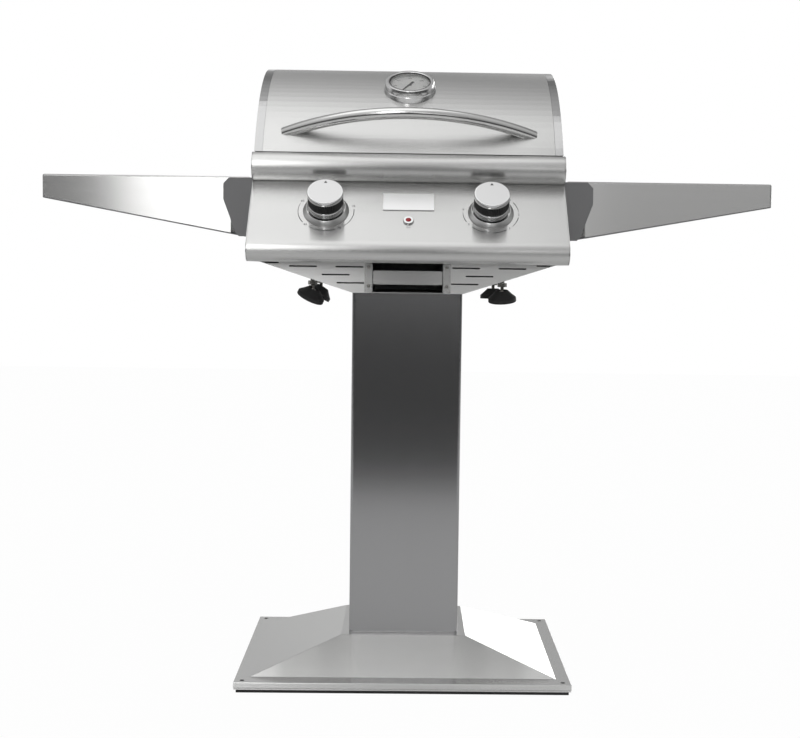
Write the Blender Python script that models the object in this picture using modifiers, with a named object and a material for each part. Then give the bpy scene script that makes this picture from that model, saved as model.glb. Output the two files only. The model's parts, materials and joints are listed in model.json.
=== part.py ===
"""Electric grill on a pedestal: sheet-metal head, two side shelves, column and base.

Metres, +Z up, with the knobs on the -Y side. Every piece is drawn about the middle of the
base, and the finished grill is then moved so that the origin lies on the ground under the
middle of its whole outline, which the lid hinges carry past the back of the base.
"""

import math

import bmesh
import bpy
from mathutils import Matrix, Vector

# Clearances and sheets
GAP = 0.0003
RUNNING_GAP = 0.0006
SHEET = 0.0012
HEAVY_SHEET = 0.002

# Base
BASE_WIDTH = 0.565
BASE_DEPTH = 0.435
FOOT_RING_HEIGHT = 0.0055
FOOT_RING_WIDTH = 0.018
FOOT_RING_INSET = 0.004
BASE_PLATE_THICKNESS = 0.0025
BASE_RIM_HEIGHT = 0.0095
BASE_HIP_HEIGHT = 0.053
BASE_BORDER_SIDE = 0.023
BASE_BORDER_FRONT = 0.033
BASE_TOP_MARGIN = 0.013
ANCHOR_HOLE_RADIUS = 0.004
ANCHOR_INSET = 0.0135

# Column
COLUMN_WIDTH = 0.190
COLUMN_DEPTH = 0.184
COLUMN_HEIGHT = 0.5957
COLUMN_WALL = 0.0015
COLUMN_CORNER_RADIUS = 0.006
COLUMN_PLATE_THICKNESS = 0.003

# Body of the head
BODY_WIDTH = 0.533
BODY_HEIGHT = 0.184
BODY_REAR_Y = 0.2225
UNDERBODY_DEPTH_FRONT = 0.150
UNDERBODY_RISE = 0.0525
UNDERBODY_FLANGE = 0.0125
UNDERBODY_INSET = 0.002
FIREBOX_FRONT_Y = -0.082
LEDGE_DROP = 0.020
LEDGE_WIDTH = 0.009
SEAT_FLANGE = 0.014

# Slots of the underbody's front panel, with their places and length as shares of its half
# width; the topmost ones run out through its sloping edges
SLOT_SHARE = 0.186
SLOT_HEIGHT = 0.0024
SLOT_ROW_PITCH = 0.0135
SLOT_FIRST_DROP = 0.009
SLOT_PLACES = (0.388, 0.697), (0.479,), (0.380,)
END_SLOT_REACH = 0.022
END_SLOT_DROP = 0.0035

# Control panel and front rail
PANEL_SLOPE = math.radians(46.0)
PANEL_DROP = 0.002
ROLL_RADIUS = 0.020
FRONT_REACH = 0.2056
RAIL_RADIUS = 0.024
RAIL_CENTRE_Y = -0.100
BADGE_WIDTH = 0.086
BADGE_HEIGHT = 0.040
BADGE_THICKNESS = 0.0016
BADGE_UP = 0.023
INDICATOR_DOWN = 0.022
INDICATOR_RADIUS = 0.009
INDICATOR_HEIGHT = 0.003
LENS_RADIUS = 0.0045
LENS_DEPTH = 0.012

# Knobs, with their profile as radii and heights above the panel
KNOB_SHARE = 0.259
KNOB_RADIUS = 0.030
KNOB_HEIGHT = 0.0445
KNOB_CAP_HEIGHT = 0.008
KNOB_SKIRT_HEIGHT = 0.011
KNOB_FOOT_GAP = 0.008
KNOB_GRIP_DEPTH = 0.004
KNOB_EDGE = 0.0015
SHAFT_RADIUS = 0.003
SHAFT_REACH = 0.016
BEZEL_RADIUS = 0.0385
BEZEL_BORE_CLEARANCE = 0.002
BEZEL_HEIGHT = 0.0075
BEZEL_LAND = 0.001
BEZEL_EDGE = 0.0015
SWITCH_WIDTH = 0.048
SWITCH_DEPTH = 0.030
SWITCH_HEIGHT = 0.040

# Lid
LID_INSET = 0.003
LID_FRONT_OVERHANG = 0.0053
LID_REAR_CLEARANCE = 0.0005
LID_CENTRE_DROP = 0.168
LID_CROWN_ELEVATION = math.radians(82.0)
LID_REAR_RADIUS = 0.065
LID_END_WIDTH = 0.014
HINGE_BEHIND = 0.008
HINGE_RISE = 0.008
HINGE_EAR_RADIUS = 0.006
HINGE_PIN_RADIUS = 0.003
HINGE_PLATE = 0.003

# Lid handle
HANDLE_INSET = 0.0595
HANDLE_BOW = 0.048
HANDLE_RADIUS = 0.010
HANDLE_OVERRUN = 1.06
HANDLE_STEPS = 28
HANDLE_ELEVATION = math.radians(36.7)

# Lid thermometer
THERMOMETER_ELEVATION = math.radians(57.0)
THERMOMETER_BASE_RADIUS = 0.047
THERMOMETER_TOP_RADIUS = 0.043
THERMOMETER_GLASS_RADIUS = 0.0365
THERMOMETER_HEIGHT = 0.018
THERMOMETER_SKIRT = 0.0047
THERMOMETER_DIAL_HEIGHT = 0.008
GLASS_THICKNESS = 0.002
NEEDLE_REACH = 0.027
NEEDLE_TAIL = 0.012
NEEDLE_WIDTH = 0.0035
NEEDLE_TIP_WIDTH = 0.0015
NEEDLE_TAIL_WIDTH = 0.0045
NEEDLE_THICKNESS = 0.0008
NEEDLE_REST_TURN = math.radians(150.0)
PROBE_RADIUS = 0.003
PROBE_LENGTH = 0.050

# Cooking grates and heating element
GRATE_THICKNESS = 0.008
GRATE_BAR = 0.008
GRATE_SLOT = 0.010
GRATE_SIDE_CLEARANCE = 0.004
GRATE_END_CLEARANCE = 0.003
ELEMENT_RADIUS = 0.004
ELEMENT_DROP = 0.030
ELEMENT_RUNS = 5
ELEMENT_SIDE_MARGIN = 0.0465
ELEMENT_PITCH = 0.050
ELEMENT_FRONT_MARGIN = 0.035
ELEMENT_LEAD_MARGIN = 0.030
ELEMENT_LEAD_REACH = 0.012
SUPPORT_WIDTH = 0.020

# Drip tray and its rails
TRAY_FRONT_WIDTH = 0.116
TRAY_FRONT_HEIGHT = 0.022
TRAY_RISE = 0.0157
TRAY_LENGTH = 0.290
TRAY_FLANGE = 0.006
TRAY_OPENING_WIDTH = 0.122
RAIL_STRIP_WIDTH = 0.012
RAIL_LEDGE = 0.007

# Side shelves and their brackets
SHELF_LENGTH = 0.352
SHELF_DEPTH = 0.290
SHELF_FRONT_Y = -0.095
SHELF_DROP = 0.042
SHELF_BODY_GAP = 0.0065
APRON_INNER = 0.103
APRON_OUTER = 0.040
FOLD_RADIUS = 0.003
BRACKET_REACH = 0.050
BRACKET_HEIGHT = 0.100
BRACKET_CHAMFER = 0.010
BRACKET_STRAIGHT = 0.037
BRACKET_FOOT = 0.023
BRACKET_FOOT_CHAMFER = 0.006
BRACKET_LEDGE = 0.020
BRACKET_LEDGE_INSET = 0.008
STUD_RADIUS = 0.004
STUD_LENGTH = 0.008
STUD_REACH = 0.033
STUD_DROP = 0.016
SLOT_CLEARANCE = 0.0005

# Adjustable feet of the head
FOOT_INSET = 0.1045
FOOT_FRONT_INSET = 0.040
FOOT_REAR_INSET = 0.0823
FOOT_THREAD_RADIUS = 0.004
FOOT_NECK_RADIUS = 0.003
FOOT_HEX_ACROSS = 0.014
FOOT_HEX_HEIGHT = 0.007
FOOT_HEX_DROP = 0.0035
FOOT_THREAD_REACH = 0.016
FOOT_BALL_RADIUS = 0.007
FOOT_BALL_DROP = 0.0203
PAD_RADIUS = 0.024
PAD_TOP_RADIUS = 0.0115
PAD_HEIGHT = 0.019
PAD_BELOW_BALL = 0.0115
PAD_EDGE = 0.0065
PAD_MOUTH_ELEVATION = math.radians(19.0)
PAD_REST_TILTS = {
    "front_left": math.radians(26.0),
    "rear_left": math.radians(33.0),
    "front_right": math.radians(-4.0),
    "rear_right": 0.0,
}
PAD_REST_LEANS = {"front": math.radians(12.0), "rear": 0.0}

# Power inlet
INLET_INSET = 0.1165
INLET_RISE = 0.060
INLET_WIDTH = 0.050
INLET_HEIGHT = 0.028
INLET_FLANGE = 0.003
INLET_BODY_WIDTH = 0.030
INLET_BODY_HEIGHT = 0.022
INLET_BODY_DEPTH = 0.022
INLET_WALL = 0.002

# Levels that follow from the sizes above
BASE_PLATE_Z = FOOT_RING_HEIGHT + GAP
RIM_Z = BASE_PLATE_Z + BASE_PLATE_THICKNESS + GAP
BASE_TOP_Z = RIM_Z + BASE_RIM_HEIGHT + BASE_HIP_HEIGHT
COLUMN_Z = BASE_TOP_Z + GAP
COLUMN_TOP_Z = COLUMN_Z + COLUMN_HEIGHT
UNDERBODY_Z = COLUMN_TOP_Z + GAP
FLOOR_Z = UNDERBODY_Z + UNDERBODY_RISE
BODY_TOP_Z = FLOOR_Z + BODY_HEIGHT
PANEL_Z = FLOOR_Z - PANEL_DROP
SIDE_INNER_X = BODY_WIDTH / 2 - SHEET - GAP
UNDERBODY_HALF_TOP = SIDE_INNER_X - UNDERBODY_FLANGE
UNDERBODY_HALF_BOTTOM = COLUMN_WIDTH / 2 - UNDERBODY_INSET
UNDERBODY_REAR_Y = BODY_REAR_Y - SHEET - LEDGE_WIDTH
LEDGE_Z = BODY_TOP_Z - LEDGE_DROP
RAIL_CENTRE_Z = BODY_TOP_Z - RAIL_RADIUS
ROLL_CENTRE_Y = ROLL_RADIUS - FRONT_REACH
ROLL_CENTRE_Z = PANEL_Z + ROLL_RADIUS
KNOB_OFFSET = KNOB_SHARE * BODY_WIDTH
LID_WIDTH = BODY_WIDTH - 2 * LID_INSET
HANDLE_SPAN = LID_WIDTH - 2 * HANDLE_INSET
ELEMENT_RUN_LENGTH = BODY_WIDTH - 2 * ELEMENT_SIDE_MARGIN
FOOT_X = BODY_WIDTH / 2 - FOOT_INSET
INLET_X = BODY_WIDTH / 2 - INLET_INSET
FOOT_FRONT_Y = FOOT_FRONT_INSET - UNDERBODY_DEPTH_FRONT
FOOT_REAR_Y = UNDERBODY_REAR_Y - FOOT_REAR_INSET
LID_FRONT_Y = RAIL_CENTRE_Y - LID_FRONT_OVERHANG
LID_REAR_Y = BODY_REAR_Y - LID_REAR_CLEARANCE
LID_CENTRE_Z = BODY_TOP_Z - LID_CENTRE_DROP
LID_SEAT_Z = BODY_TOP_Z + GAP
SHELF_Z = BODY_TOP_Z - SHELF_DROP
SHELF_INNER_X = BODY_WIDTH / 2 + SHELF_BODY_GAP
FLOOR_SLOPE = math.atan2(UNDERBODY_RISE, UNDERBODY_HALF_TOP - UNDERBODY_HALF_BOTTOM)

# The lid's large front arc, which starts at its front edge and runs into its rear arc
CROWN_SHARE = math.cos(LID_CROWN_ELEVATION)
LID_REACH = LID_REAR_Y - LID_FRONT_Y - LID_REAR_RADIUS * (1 + CROWN_SHARE)
LID_RADIUS = (
    LID_REACH * CROWN_SHARE
    + math.sqrt(LID_REACH**2 + (1 - CROWN_SHARE**2) * LID_CENTRE_DROP**2)
) / (1 - CROWN_SHARE**2)
LID_CENTRE_Y = LID_REAR_Y - LID_REAR_RADIUS + (LID_RADIUS - LID_REAR_RADIUS) * CROWN_SHARE
LID_FRONT_ELEVATION = math.asin((LID_CENTRE_DROP + GAP + SHEET / 2) / LID_RADIUS)

# Finishes: colour, roughness, metallic
STAINLESS = (0.62, 0.62, 0.62), 0.30, 1.0
DARK_STAINLESS = (0.30, 0.30, 0.31), 0.35, 1.0
POLISHED = (0.80, 0.80, 0.80), 0.08, 1.0
GALVANISED = (0.48, 0.49, 0.50), 0.45, 1.0
RUBBER = (0.02, 0.02, 0.02), 0.80, 0.0
BLACK_PLASTIC = (0.03, 0.03, 0.03), 0.50, 0.0
CAST_IRON = (0.05, 0.05, 0.05), 0.65, 0.3
RED_LENS = (0.50, 0.01, 0.01), 0.15, 0.0
WHITE_DIAL = (0.85, 0.85, 0.83), 0.50, 0.0
CLEAR_GLASS = (0.90, 0.92, 0.92), 0.05, 0.0

MERGE = 0.00001
ROUND_STEPS = 32
SMALL_ROUND_STEPS = 16
FINE_ROUND_STEPS = 48
PAD_ROUND_STEPS = 24
SMALL_ARC_STEP = math.radians(15.0)
RAIL_ARC_STEP = math.radians(10.0)
LID_ARC_STEP = math.radians(2.6)
LID_REAR_ARC_STEP = math.radians(8.0)
BALL_ARC_STEP = math.radians(20.0)
ELEMENT_ARC_STEP = math.radians(30.0)
SLOT_ARC_STEP = math.radians(60.0)


# The empty scene and its two collections
def clear_scene():
    for item in list(bpy.data.objects):
        bpy.data.objects.remove(item)


def new_collection(name):
    collection = bpy.data.collections.new(name)
    bpy.context.scene.collection.children.link(collection)
    return collection


clear_scene()
PARTS = new_collection("electric_grill")
CUTTERS = new_collection("cutters")


# Objects and finishes
def add_object(name, mesh, finish):
    obj = bpy.data.objects.new(name, mesh)
    PARTS.objects.link(obj)
    colour, roughness, metallic = finish
    material = bpy.data.materials.new(name + "_finish")
    material.use_nodes = True
    shader = material.node_tree.nodes["Principled BSDF"]
    shader.inputs["Base Color"].default_value = (*colour, 1.0)
    shader.inputs["Roughness"].default_value = roughness
    shader.inputs["Metallic"].default_value = metallic
    mesh.materials.clear()
    mesh.materials.append(material)
    return obj


def add_frame(name, place, turn_x):
    """An empty whose Z axis points out of a sloping face; small pieces hang from it."""
    frame = bpy.data.objects.new(name, None)
    PARTS.objects.link(frame)
    frame.location = place
    frame.rotation_euler = (turn_x, 0.0, 0.0)
    return frame


def hang(obj, frame, place=(0.0, 0.0, 0.0)):
    obj.parent = frame
    obj.location = place
    return obj


def make_tool(obj):
    PARTS.objects.unlink(obj)
    CUTTERS.objects.link(obj)
    obj.hide_render = True
    obj.display_type = "WIRE"
    return obj


def combine(obj, other, operation):
    modifier = obj.modifiers.new(operation.lower() + "_" + other.name, "BOOLEAN")
    modifier.operation = operation
    modifier.solver = "EXACT"
    modifier.object = make_tool(other)


def cut(obj, cutter):
    combine(obj, cutter, "DIFFERENCE")


def unite(obj, other):
    combine(obj, other, "UNION")


def evaluated_mesh(obj):
    bpy.context.view_layer.update()
    graph = bpy.context.evaluated_depsgraph_get()
    return bpy.data.meshes.new_from_object(obj.evaluated_get(graph), depsgraph=graph)


def mirrored(obj, name, finish):
    """The left-hand twin of a finished right-hand piece."""
    mesh = evaluated_mesh(obj)
    mesh.transform(obj.matrix_world)
    mesh.transform(Matrix.Scale(-1.0, 4, (1.0, 0.0, 0.0)))
    mesh.flip_normals()
    return add_object(name, mesh, finish)


def smooth(obj, angle=math.radians(35.0)):
    obj.data.shade_smooth()
    obj.data.set_sharp_from_angle(angle=angle)
    return obj


# Shapes
def arc(centre, radius, start, end, step):
    count = max(2, math.ceil(abs(end - start) / step))
    angles = [start + (end - start) * index / count for index in range(count + 1)]
    return [(centre[0] + radius * math.cos(a), centre[1] + radius * math.sin(a)) for a in angles]


def rectangle(width, height, centre=(0.0, 0.0)):
    x, y = centre
    return [
        (x - width / 2, y - height / 2),
        (x + width / 2, y - height / 2),
        (x + width / 2, y + height / 2),
        (x - width / 2, y + height / 2),
    ]


def rounded_rectangle(width, height, radius, centre=(0.0, 0.0)):
    x = width / 2 - radius
    y = height / 2 - radius
    quarter = math.pi / 2
    points = []
    for turn, (a, b) in enumerate([(x, y), (-x, y), (-x, -y), (x, -y)]):
        corner = (centre[0] + a, centre[1] + b)
        points += arc(corner, radius, turn * quarter, (turn + 1) * quarter, SMALL_ARC_STEP)
    return points


def box(name, size, centre, finish):
    bpy.ops.mesh.primitive_cube_add(size=1.0)
    source = bpy.context.object
    mesh = source.data
    bpy.data.objects.remove(source)
    mesh.transform(Matrix.Diagonal((*size, 1.0)))
    obj = add_object(name, mesh, finish)
    obj.location = centre
    return obj


def rod(name, radius, start, end, finish, steps=SMALL_ROUND_STEPS):
    """A round bar between two points."""
    axis = Vector(end) - Vector(start)
    mesh = bpy.data.meshes.new(name)
    work = bmesh.new()
    bmesh.ops.create_cone(
        work, cap_ends=True, segments=steps, radius1=radius, radius2=radius, depth=axis.length
    )
    work.to_mesh(mesh)
    work.free()
    obj = add_object(name, mesh, finish)
    obj.rotation_euler = axis.to_track_quat("Z", "Y").to_euler()
    obj.location = (Vector(start) + Vector(end)) / 2
    return obj


PLANES = {
    "XY": Matrix.Identity(4),
    "YZ": Matrix(((0, 0, 1, 0), (1, 0, 0, 0), (0, 1, 0, 0), (0, 0, 0, 1))),
    "XZ": Matrix(((1, 0, 0, 0), (0, 0, -1, 0), (0, 1, 0, 0), (0, 0, 0, 1))),
}


def plate(name, loops, plane, low, high, finish):
    """A flat plate between two levels of its plane's normal; inner loops are holes."""
    curve = bpy.data.curves.new(name, "CURVE")
    curve.dimensions = "2D"
    curve.fill_mode = "BOTH"
    curve.extrude = abs(high - low) / 2
    for loop in loops:
        spline = curve.splines.new("POLY")
        spline.points.add(len(loop) - 1)
        spline.use_cyclic_u = True
        for point, (a, b) in zip(spline.points, loop):
            point.co = (a, b, 0.0, 1.0)
    source = bpy.data.objects.new(name, curve)
    PARTS.objects.link(source)
    mesh = evaluated_mesh(source)
    bpy.data.objects.remove(source)
    work = bmesh.new()
    work.from_mesh(mesh)
    bmesh.ops.remove_doubles(work, verts=work.verts, dist=MERGE)
    bmesh.ops.recalc_face_normals(work, faces=work.faces)
    work.to_mesh(mesh)
    work.free()
    normal = PLANES[plane].to_3x3() @ Vector((0.0, 0.0, 1.0))
    mesh.transform(Matrix.Translation(normal * (low + high) / 2 * sum(normal)) @ PLANES[plane])
    return add_object(name, mesh, finish)


def surface_object(name, points, faces, finish, thickness, side, bevel=0.0):
    """An open folded surface, thickened to one side of its normals."""
    mesh = bpy.data.meshes.new(name)
    mesh.from_pydata(points, [], faces)
    obj = add_object(name, mesh, finish)
    if bevel:
        fold = obj.modifiers.new("folds", "BEVEL")
        fold.width = bevel
        fold.segments = 2
        fold.limit_method = "ANGLE"
    skin = obj.modifiers.new("sheet", "SOLIDIFY")
    skin.thickness = thickness
    skin.offset = side
    skin.solidify_mode = "NON_MANIFOLD"
    skin.nonmanifold_thickness_mode = "CONSTRAINTS"
    return obj


def folded_sheet(name, line, plane, low, high, finish, side, thickness=SHEET):
    """A sheet whose section is a line in a plane, run between two levels of its normal."""
    turn = PLANES[plane].to_3x3()
    direction = sum(turn @ Vector((0.0, 0.0, 1.0)))
    points = [turn @ Vector((a, b, level * direction)) for level in (low, high) for a, b in line]
    count = len(line)
    faces = [(i, i + 1, count + i + 1, count + i) for i in range(count - 1)]
    return surface_object(name, points, faces, finish, thickness, side)


def turned(name, profile, finish, steps=ROUND_STEPS, closed=False):
    """A round piece: (radius, height) points from the top down its outer side."""
    mesh = bpy.data.meshes.new(name)
    edges = [(i, i + 1) for i in range(len(profile) - 1)]
    if closed:
        edges.append((len(profile) - 1, 0))
    mesh.from_pydata([(r, 0.0, z) for r, z in profile], edges, [])
    obj = add_object(name, mesh, finish)
    spin = obj.modifiers.new("turning", "SCREW")
    spin.steps = steps
    spin.render_steps = steps
    spin.use_merge_vertices = True
    spin.merge_threshold = MERGE
    spin.use_smooth_shade = True
    return obj


def tube(name, points, radius, finish, sides=2):
    """A bent round bar through a line of points, closed at both ends."""
    curve = bpy.data.curves.new(name, "CURVE")
    curve.dimensions = "3D"
    curve.bevel_depth = radius
    curve.bevel_resolution = sides
    curve.use_fill_caps = True
    spline = curve.splines.new("POLY")
    spline.points.add(len(points) - 1)
    for point, place in zip(spline.points, points):
        point.co = (*place, 1.0)
    source = bpy.data.objects.new(name, curve)
    PARTS.objects.link(source)
    mesh = evaluated_mesh(source)
    bpy.data.objects.remove(source)
    work = bmesh.new()
    work.from_mesh(mesh)
    bmesh.ops.remove_doubles(work, verts=work.verts, dist=MERGE)
    bmesh.ops.recalc_face_normals(work, faces=work.faces)
    work.to_mesh(mesh)
    work.free()
    return smooth(add_object(name, mesh, finish))


# Base: rubber ring, flat plate and hipped cover
def base():
    ring_width = BASE_WIDTH - 2 * FOOT_RING_INSET
    ring_depth = BASE_DEPTH - 2 * FOOT_RING_INSET
    plate(
        "base_foot_ring",
        [
            rectangle(ring_width, ring_depth),
            rectangle(ring_width - 2 * FOOT_RING_WIDTH, ring_depth - 2 * FOOT_RING_WIDTH),
        ],
        "XY",
        0.0,
        FOOT_RING_HEIGHT,
        RUBBER,
    )
    anchor_x = BASE_WIDTH / 2 - ANCHOR_INSET
    anchor_y = BASE_DEPTH / 2 - ANCHOR_INSET
    anchors = [(x, y) for x in (-anchor_x, anchor_x) for y in (-anchor_y, anchor_y)]
    base_plate = box(
        "base_bottom_plate",
        (BASE_WIDTH - SHEET, BASE_DEPTH - SHEET, BASE_PLATE_THICKNESS),
        (0.0, 0.0, BASE_PLATE_Z + BASE_PLATE_THICKNESS / 2),
        GALVANISED,
    )
    cover = base_cover()
    for index, (x, y) in enumerate(anchors):
        for obj in (base_plate, cover):
            hole = rod(
                f"anchor_hole_{index}_{obj.name}",
                ANCHOR_HOLE_RADIUS,
                (x, y, 0.0),
                (x, y, BASE_TOP_Z),
                GALVANISED,
            )
            cut(obj, hole)


def base_cover():
    """The cover starts as its flat top, whose edges are drawn down to the rim."""
    levels = [
        (
            COLUMN_WIDTH + 2 * BASE_TOP_MARGIN,
            COLUMN_DEPTH + 2 * BASE_TOP_MARGIN,
            BASE_TOP_Z,
        ),
        (
            BASE_WIDTH - 2 * BASE_BORDER_SIDE,
            BASE_DEPTH - 2 * BASE_BORDER_FRONT,
            BASE_TOP_Z - BASE_HIP_HEIGHT,
        ),
        (BASE_WIDTH, BASE_DEPTH, BASE_TOP_Z - BASE_HIP_HEIGHT),
        (BASE_WIDTH, BASE_DEPTH, RIM_Z),
    ]
    mesh = bpy.data.meshes.new("base_cover")
    work = bmesh.new()
    bmesh.ops.create_grid(work, x_segments=1, y_segments=1, size=1.0)
    rim = list(work.verts)
    for index, (width, depth, height) in enumerate(levels):
        if index:
            edges = [edge for edge in work.edges if edge.is_boundary]
            grown = bmesh.ops.extrude_edge_only(work, edges=edges)
            rim = [item for item in grown["geom"] if isinstance(item, bmesh.types.BMVert)]
        for vert in rim:
            x = math.copysign(width / 2, vert.co.x)
            y = math.copysign(depth / 2, vert.co.y)
            vert.co = (x, y, height)
    bmesh.ops.recalc_face_normals(work, faces=work.faces)
    work.to_mesh(mesh)
    work.free()
    cover = add_object("base_cover", mesh, STAINLESS)
    skin = cover.modifiers.new("sheet", "SOLIDIFY")
    skin.thickness = SHEET
    skin.offset = -1.0
    skin.use_even_offset = True
    return cover


# Column: rectangular tube with a plate in each end
def column():
    inner_width = COLUMN_WIDTH - 2 * COLUMN_WALL
    inner_depth = COLUMN_DEPTH - 2 * COLUMN_WALL
    inner_radius = COLUMN_CORNER_RADIUS - COLUMN_WALL
    plate(
        "column",
        [
            rounded_rectangle(COLUMN_WIDTH, COLUMN_DEPTH, COLUMN_CORNER_RADIUS),
            rounded_rectangle(inner_width, inner_depth, inner_radius),
        ],
        "XY",
        COLUMN_Z,
        COLUMN_TOP_Z,
        DARK_STAINLESS,
    )
    ends = {
        "column_foot_plate": COLUMN_Z,
        "column_top_plate": COLUMN_TOP_Z - COLUMN_PLATE_THICKNESS,
    }
    for name, level in ends.items():
        plate(
            name,
            [rounded_rectangle(inner_width - 2 * GAP, inner_depth - 2 * GAP, inner_radius)],
            "XY",
            level,
            level + COLUMN_PLATE_THICKNESS,
            GALVANISED,
        )


# Underbody: slotted front, sloping floors and the flat bottom that sits on the column
def floor_height(x):
    """Height of the floor's outer face at a distance from the middle."""
    return UNDERBODY_Z + (abs(x) - UNDERBODY_HALF_BOTTOM) * math.tan(FLOOR_SLOPE)


def slot_outline(x, z):
    straight = SLOT_SHARE * UNDERBODY_HALF_TOP / 2 - SLOT_HEIGHT / 2
    half_turn = math.pi / 2
    right = arc((x + straight, z), SLOT_HEIGHT / 2, -half_turn, half_turn, SLOT_ARC_STEP)
    left = arc((x - straight, z), SLOT_HEIGHT / 2, half_turn, 3 * half_turn, SLOT_ARC_STEP)
    return right + left


def end_slot():
    """The slot that starts in the right sloping edge, from its lower to its upper lip."""
    low = FLOOR_Z - END_SLOT_DROP - SLOT_HEIGHT / 2
    high = low + SLOT_HEIGHT
    edge = [UNDERBODY_HALF_TOP - (FLOOR_Z - z) / math.tan(FLOOR_SLOPE) for z in (low, high)]
    centre = (edge[0] - END_SLOT_REACH + SLOT_HEIGHT / 2, (low + high) / 2)
    round_end = arc(centre, SLOT_HEIGHT / 2, math.pi * 3 / 2, math.pi / 2, SLOT_ARC_STEP)
    return [(edge[0], low), *round_end, (edge[1], high)]


def underbody():
    front_y = -UNDERBODY_DEPTH_FRONT
    opening = TRAY_OPENING_WIDTH / 2
    right_half = [
        (opening, FLOOR_Z - SHEET),
        (opening, UNDERBODY_Z),
        (UNDERBODY_HALF_BOTTOM, UNDERBODY_Z),
        *end_slot(),
        (UNDERBODY_HALF_TOP, FLOOR_Z),
    ]
    outline = right_half + [(-x, z) for x, z in reversed(right_half)]
    slots = []
    for row, places in enumerate(SLOT_PLACES):
        height = FLOOR_Z - SLOT_FIRST_DROP - row * SLOT_ROW_PITCH
        for place in places:
            x = place * UNDERBODY_HALF_TOP
            slots += [slot_outline(-x, height), slot_outline(x, height)]
    plate(
        "underbody_front",
        [outline, *slots],
        "XZ",
        front_y,
        front_y + SHEET,
        STAINLESS,
    )
    behind_front = front_y + SHEET + GAP
    bottom_half = UNDERBODY_HALF_BOTTOM - SHEET * math.sin(FLOOR_SLOPE) - GAP
    box_between(
        "underbody_bottom",
        (-bottom_half, behind_front, UNDERBODY_Z),
        (bottom_half, UNDERBODY_REAR_Y - GAP, UNDERBODY_Z + SHEET),
        STAINLESS,
    )
    floor = folded_sheet(
        "underbody_floor_right",
        [
            (UNDERBODY_HALF_BOTTOM, UNDERBODY_Z),
            (UNDERBODY_HALF_TOP, FLOOR_Z - SHEET),
            (SIDE_INNER_X - GAP, FLOOR_Z - SHEET),
        ],
        "XZ",
        behind_front,
        UNDERBODY_REAR_Y - GAP,
        STAINLESS,
        1.0,
    )
    for y in (FOOT_FRONT_Y, FOOT_REAR_Y):
        hole = rod(
            f"foot_hole_{y}",
            FOOT_THREAD_RADIUS + RUNNING_GAP,
            (FOOT_X, y, UNDERBODY_Z),
            (FOOT_X, y, BODY_TOP_Z),
            STAINLESS,
        )
        cut(floor, hole)
    mirrored(floor, "underbody_floor_left", STAINLESS)


def box_between(name, low, high, finish):
    size = [b - a for a, b in zip(low, high)]
    centre = [(a + b) / 2 for a, b in zip(low, high)]
    return box(name, size, centre, finish)


# Firebox: stepped front wall, rear panel and the two side panels
def firebox():
    wall = folded_sheet(
        "firebox_front",
        [
            (-UNDERBODY_DEPTH_FRONT + SHEET + GAP, FLOOR_Z + GAP),
            (FIREBOX_FRONT_Y, FLOOR_Z + GAP),
            (FIREBOX_FRONT_Y, LEDGE_Z),
            (FIREBOX_FRONT_Y - LEDGE_WIDTH, LEDGE_Z),
            (FIREBOX_FRONT_Y - LEDGE_WIDTH, BODY_TOP_Z - SHEET),
        ],
        "YZ",
        -SIDE_INNER_X + GAP,
        SIDE_INNER_X - GAP,
        GALVANISED,
        -1.0,
    )
    for x in element_lead_places():
        hole = rod(
            f"element_hole_{x}",
            ELEMENT_RADIUS + RUNNING_GAP,
            (x, -UNDERBODY_DEPTH_FRONT, ELEMENT_Z),
            (x, 0.0, ELEMENT_Z),
            GALVANISED,
        )
        cut(wall, hole)
    rear_panel()
    side = side_panel()
    mirrored(side, "side_panel_left", STAINLESS)


def rear_panel():
    """A flat V-shaped lower part, a step outwards for the grates, and an upright rim."""
    half = SIDE_INNER_X - GAP
    bottom = [
        (UNDERBODY_HALF_BOTTOM, UNDERBODY_Z),
        (UNDERBODY_HALF_TOP, FLOOR_Z - SHEET),
        (half, FLOOR_Z - SHEET),
    ]
    lower = [(x, z) for x, z in bottom] + [(half, LEDGE_Z), (-half, LEDGE_Z)]
    lower += [(-x, z) for x, z in reversed(bottom)]
    points = [(x, UNDERBODY_REAR_Y, z) for x, z in lower]
    outer_y = BODY_REAR_Y - SHEET
    points += [
        (half, outer_y, LEDGE_Z),
        (-half, outer_y, LEDGE_Z),
        (half, outer_y, BODY_TOP_Z - SHEET),
        (-half, outer_y, BODY_TOP_Z - SHEET),
    ]
    count = len(lower)
    right_ledge = len(bottom)
    left_ledge = right_ledge + 1
    faces = [
        tuple(range(count)),
        (left_ledge, right_ledge, count, count + 1),
        (count + 1, count, count + 2, count + 3),
    ]
    panel = surface_object("rear_panel", points, faces, STAINLESS, SHEET, -1.0)
    inlet_hole = box_between(
        "inlet_hole",
        (
            INLET_X - INLET_BODY_WIDTH / 2 - GAP,
            0.0,
            INLET_Z - INLET_BODY_HEIGHT / 2 - GAP,
        ),
        (
            INLET_X + INLET_BODY_WIDTH / 2 + GAP,
            BODY_REAR_Y + INLET_FLANGE,
            INLET_Z + INLET_BODY_HEIGHT / 2 + GAP,
        ),
        STAINLESS,
    )
    cut(panel, inlet_hole)


def panel_line():
    """Section of the control panel: return flange, roll and slope, as its outer face."""
    roll = arc(
        (ROLL_CENTRE_Y, ROLL_CENTRE_Z),
        ROLL_RADIUS,
        -math.pi / 2,
        -math.pi * 3 / 2 + PANEL_SLOPE,
        SMALL_ARC_STEP,
    )
    top_z = RAIL_CENTRE_Z - RAIL_RADIUS - GAP
    slope_start = roll[-1]
    run = (top_z - slope_start[1]) / math.tan(PANEL_SLOPE)
    flange_end = (-UNDERBODY_DEPTH_FRONT - GAP, PANEL_Z)
    return [flange_end, *roll, (slope_start[0] + run, top_z)]


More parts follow.
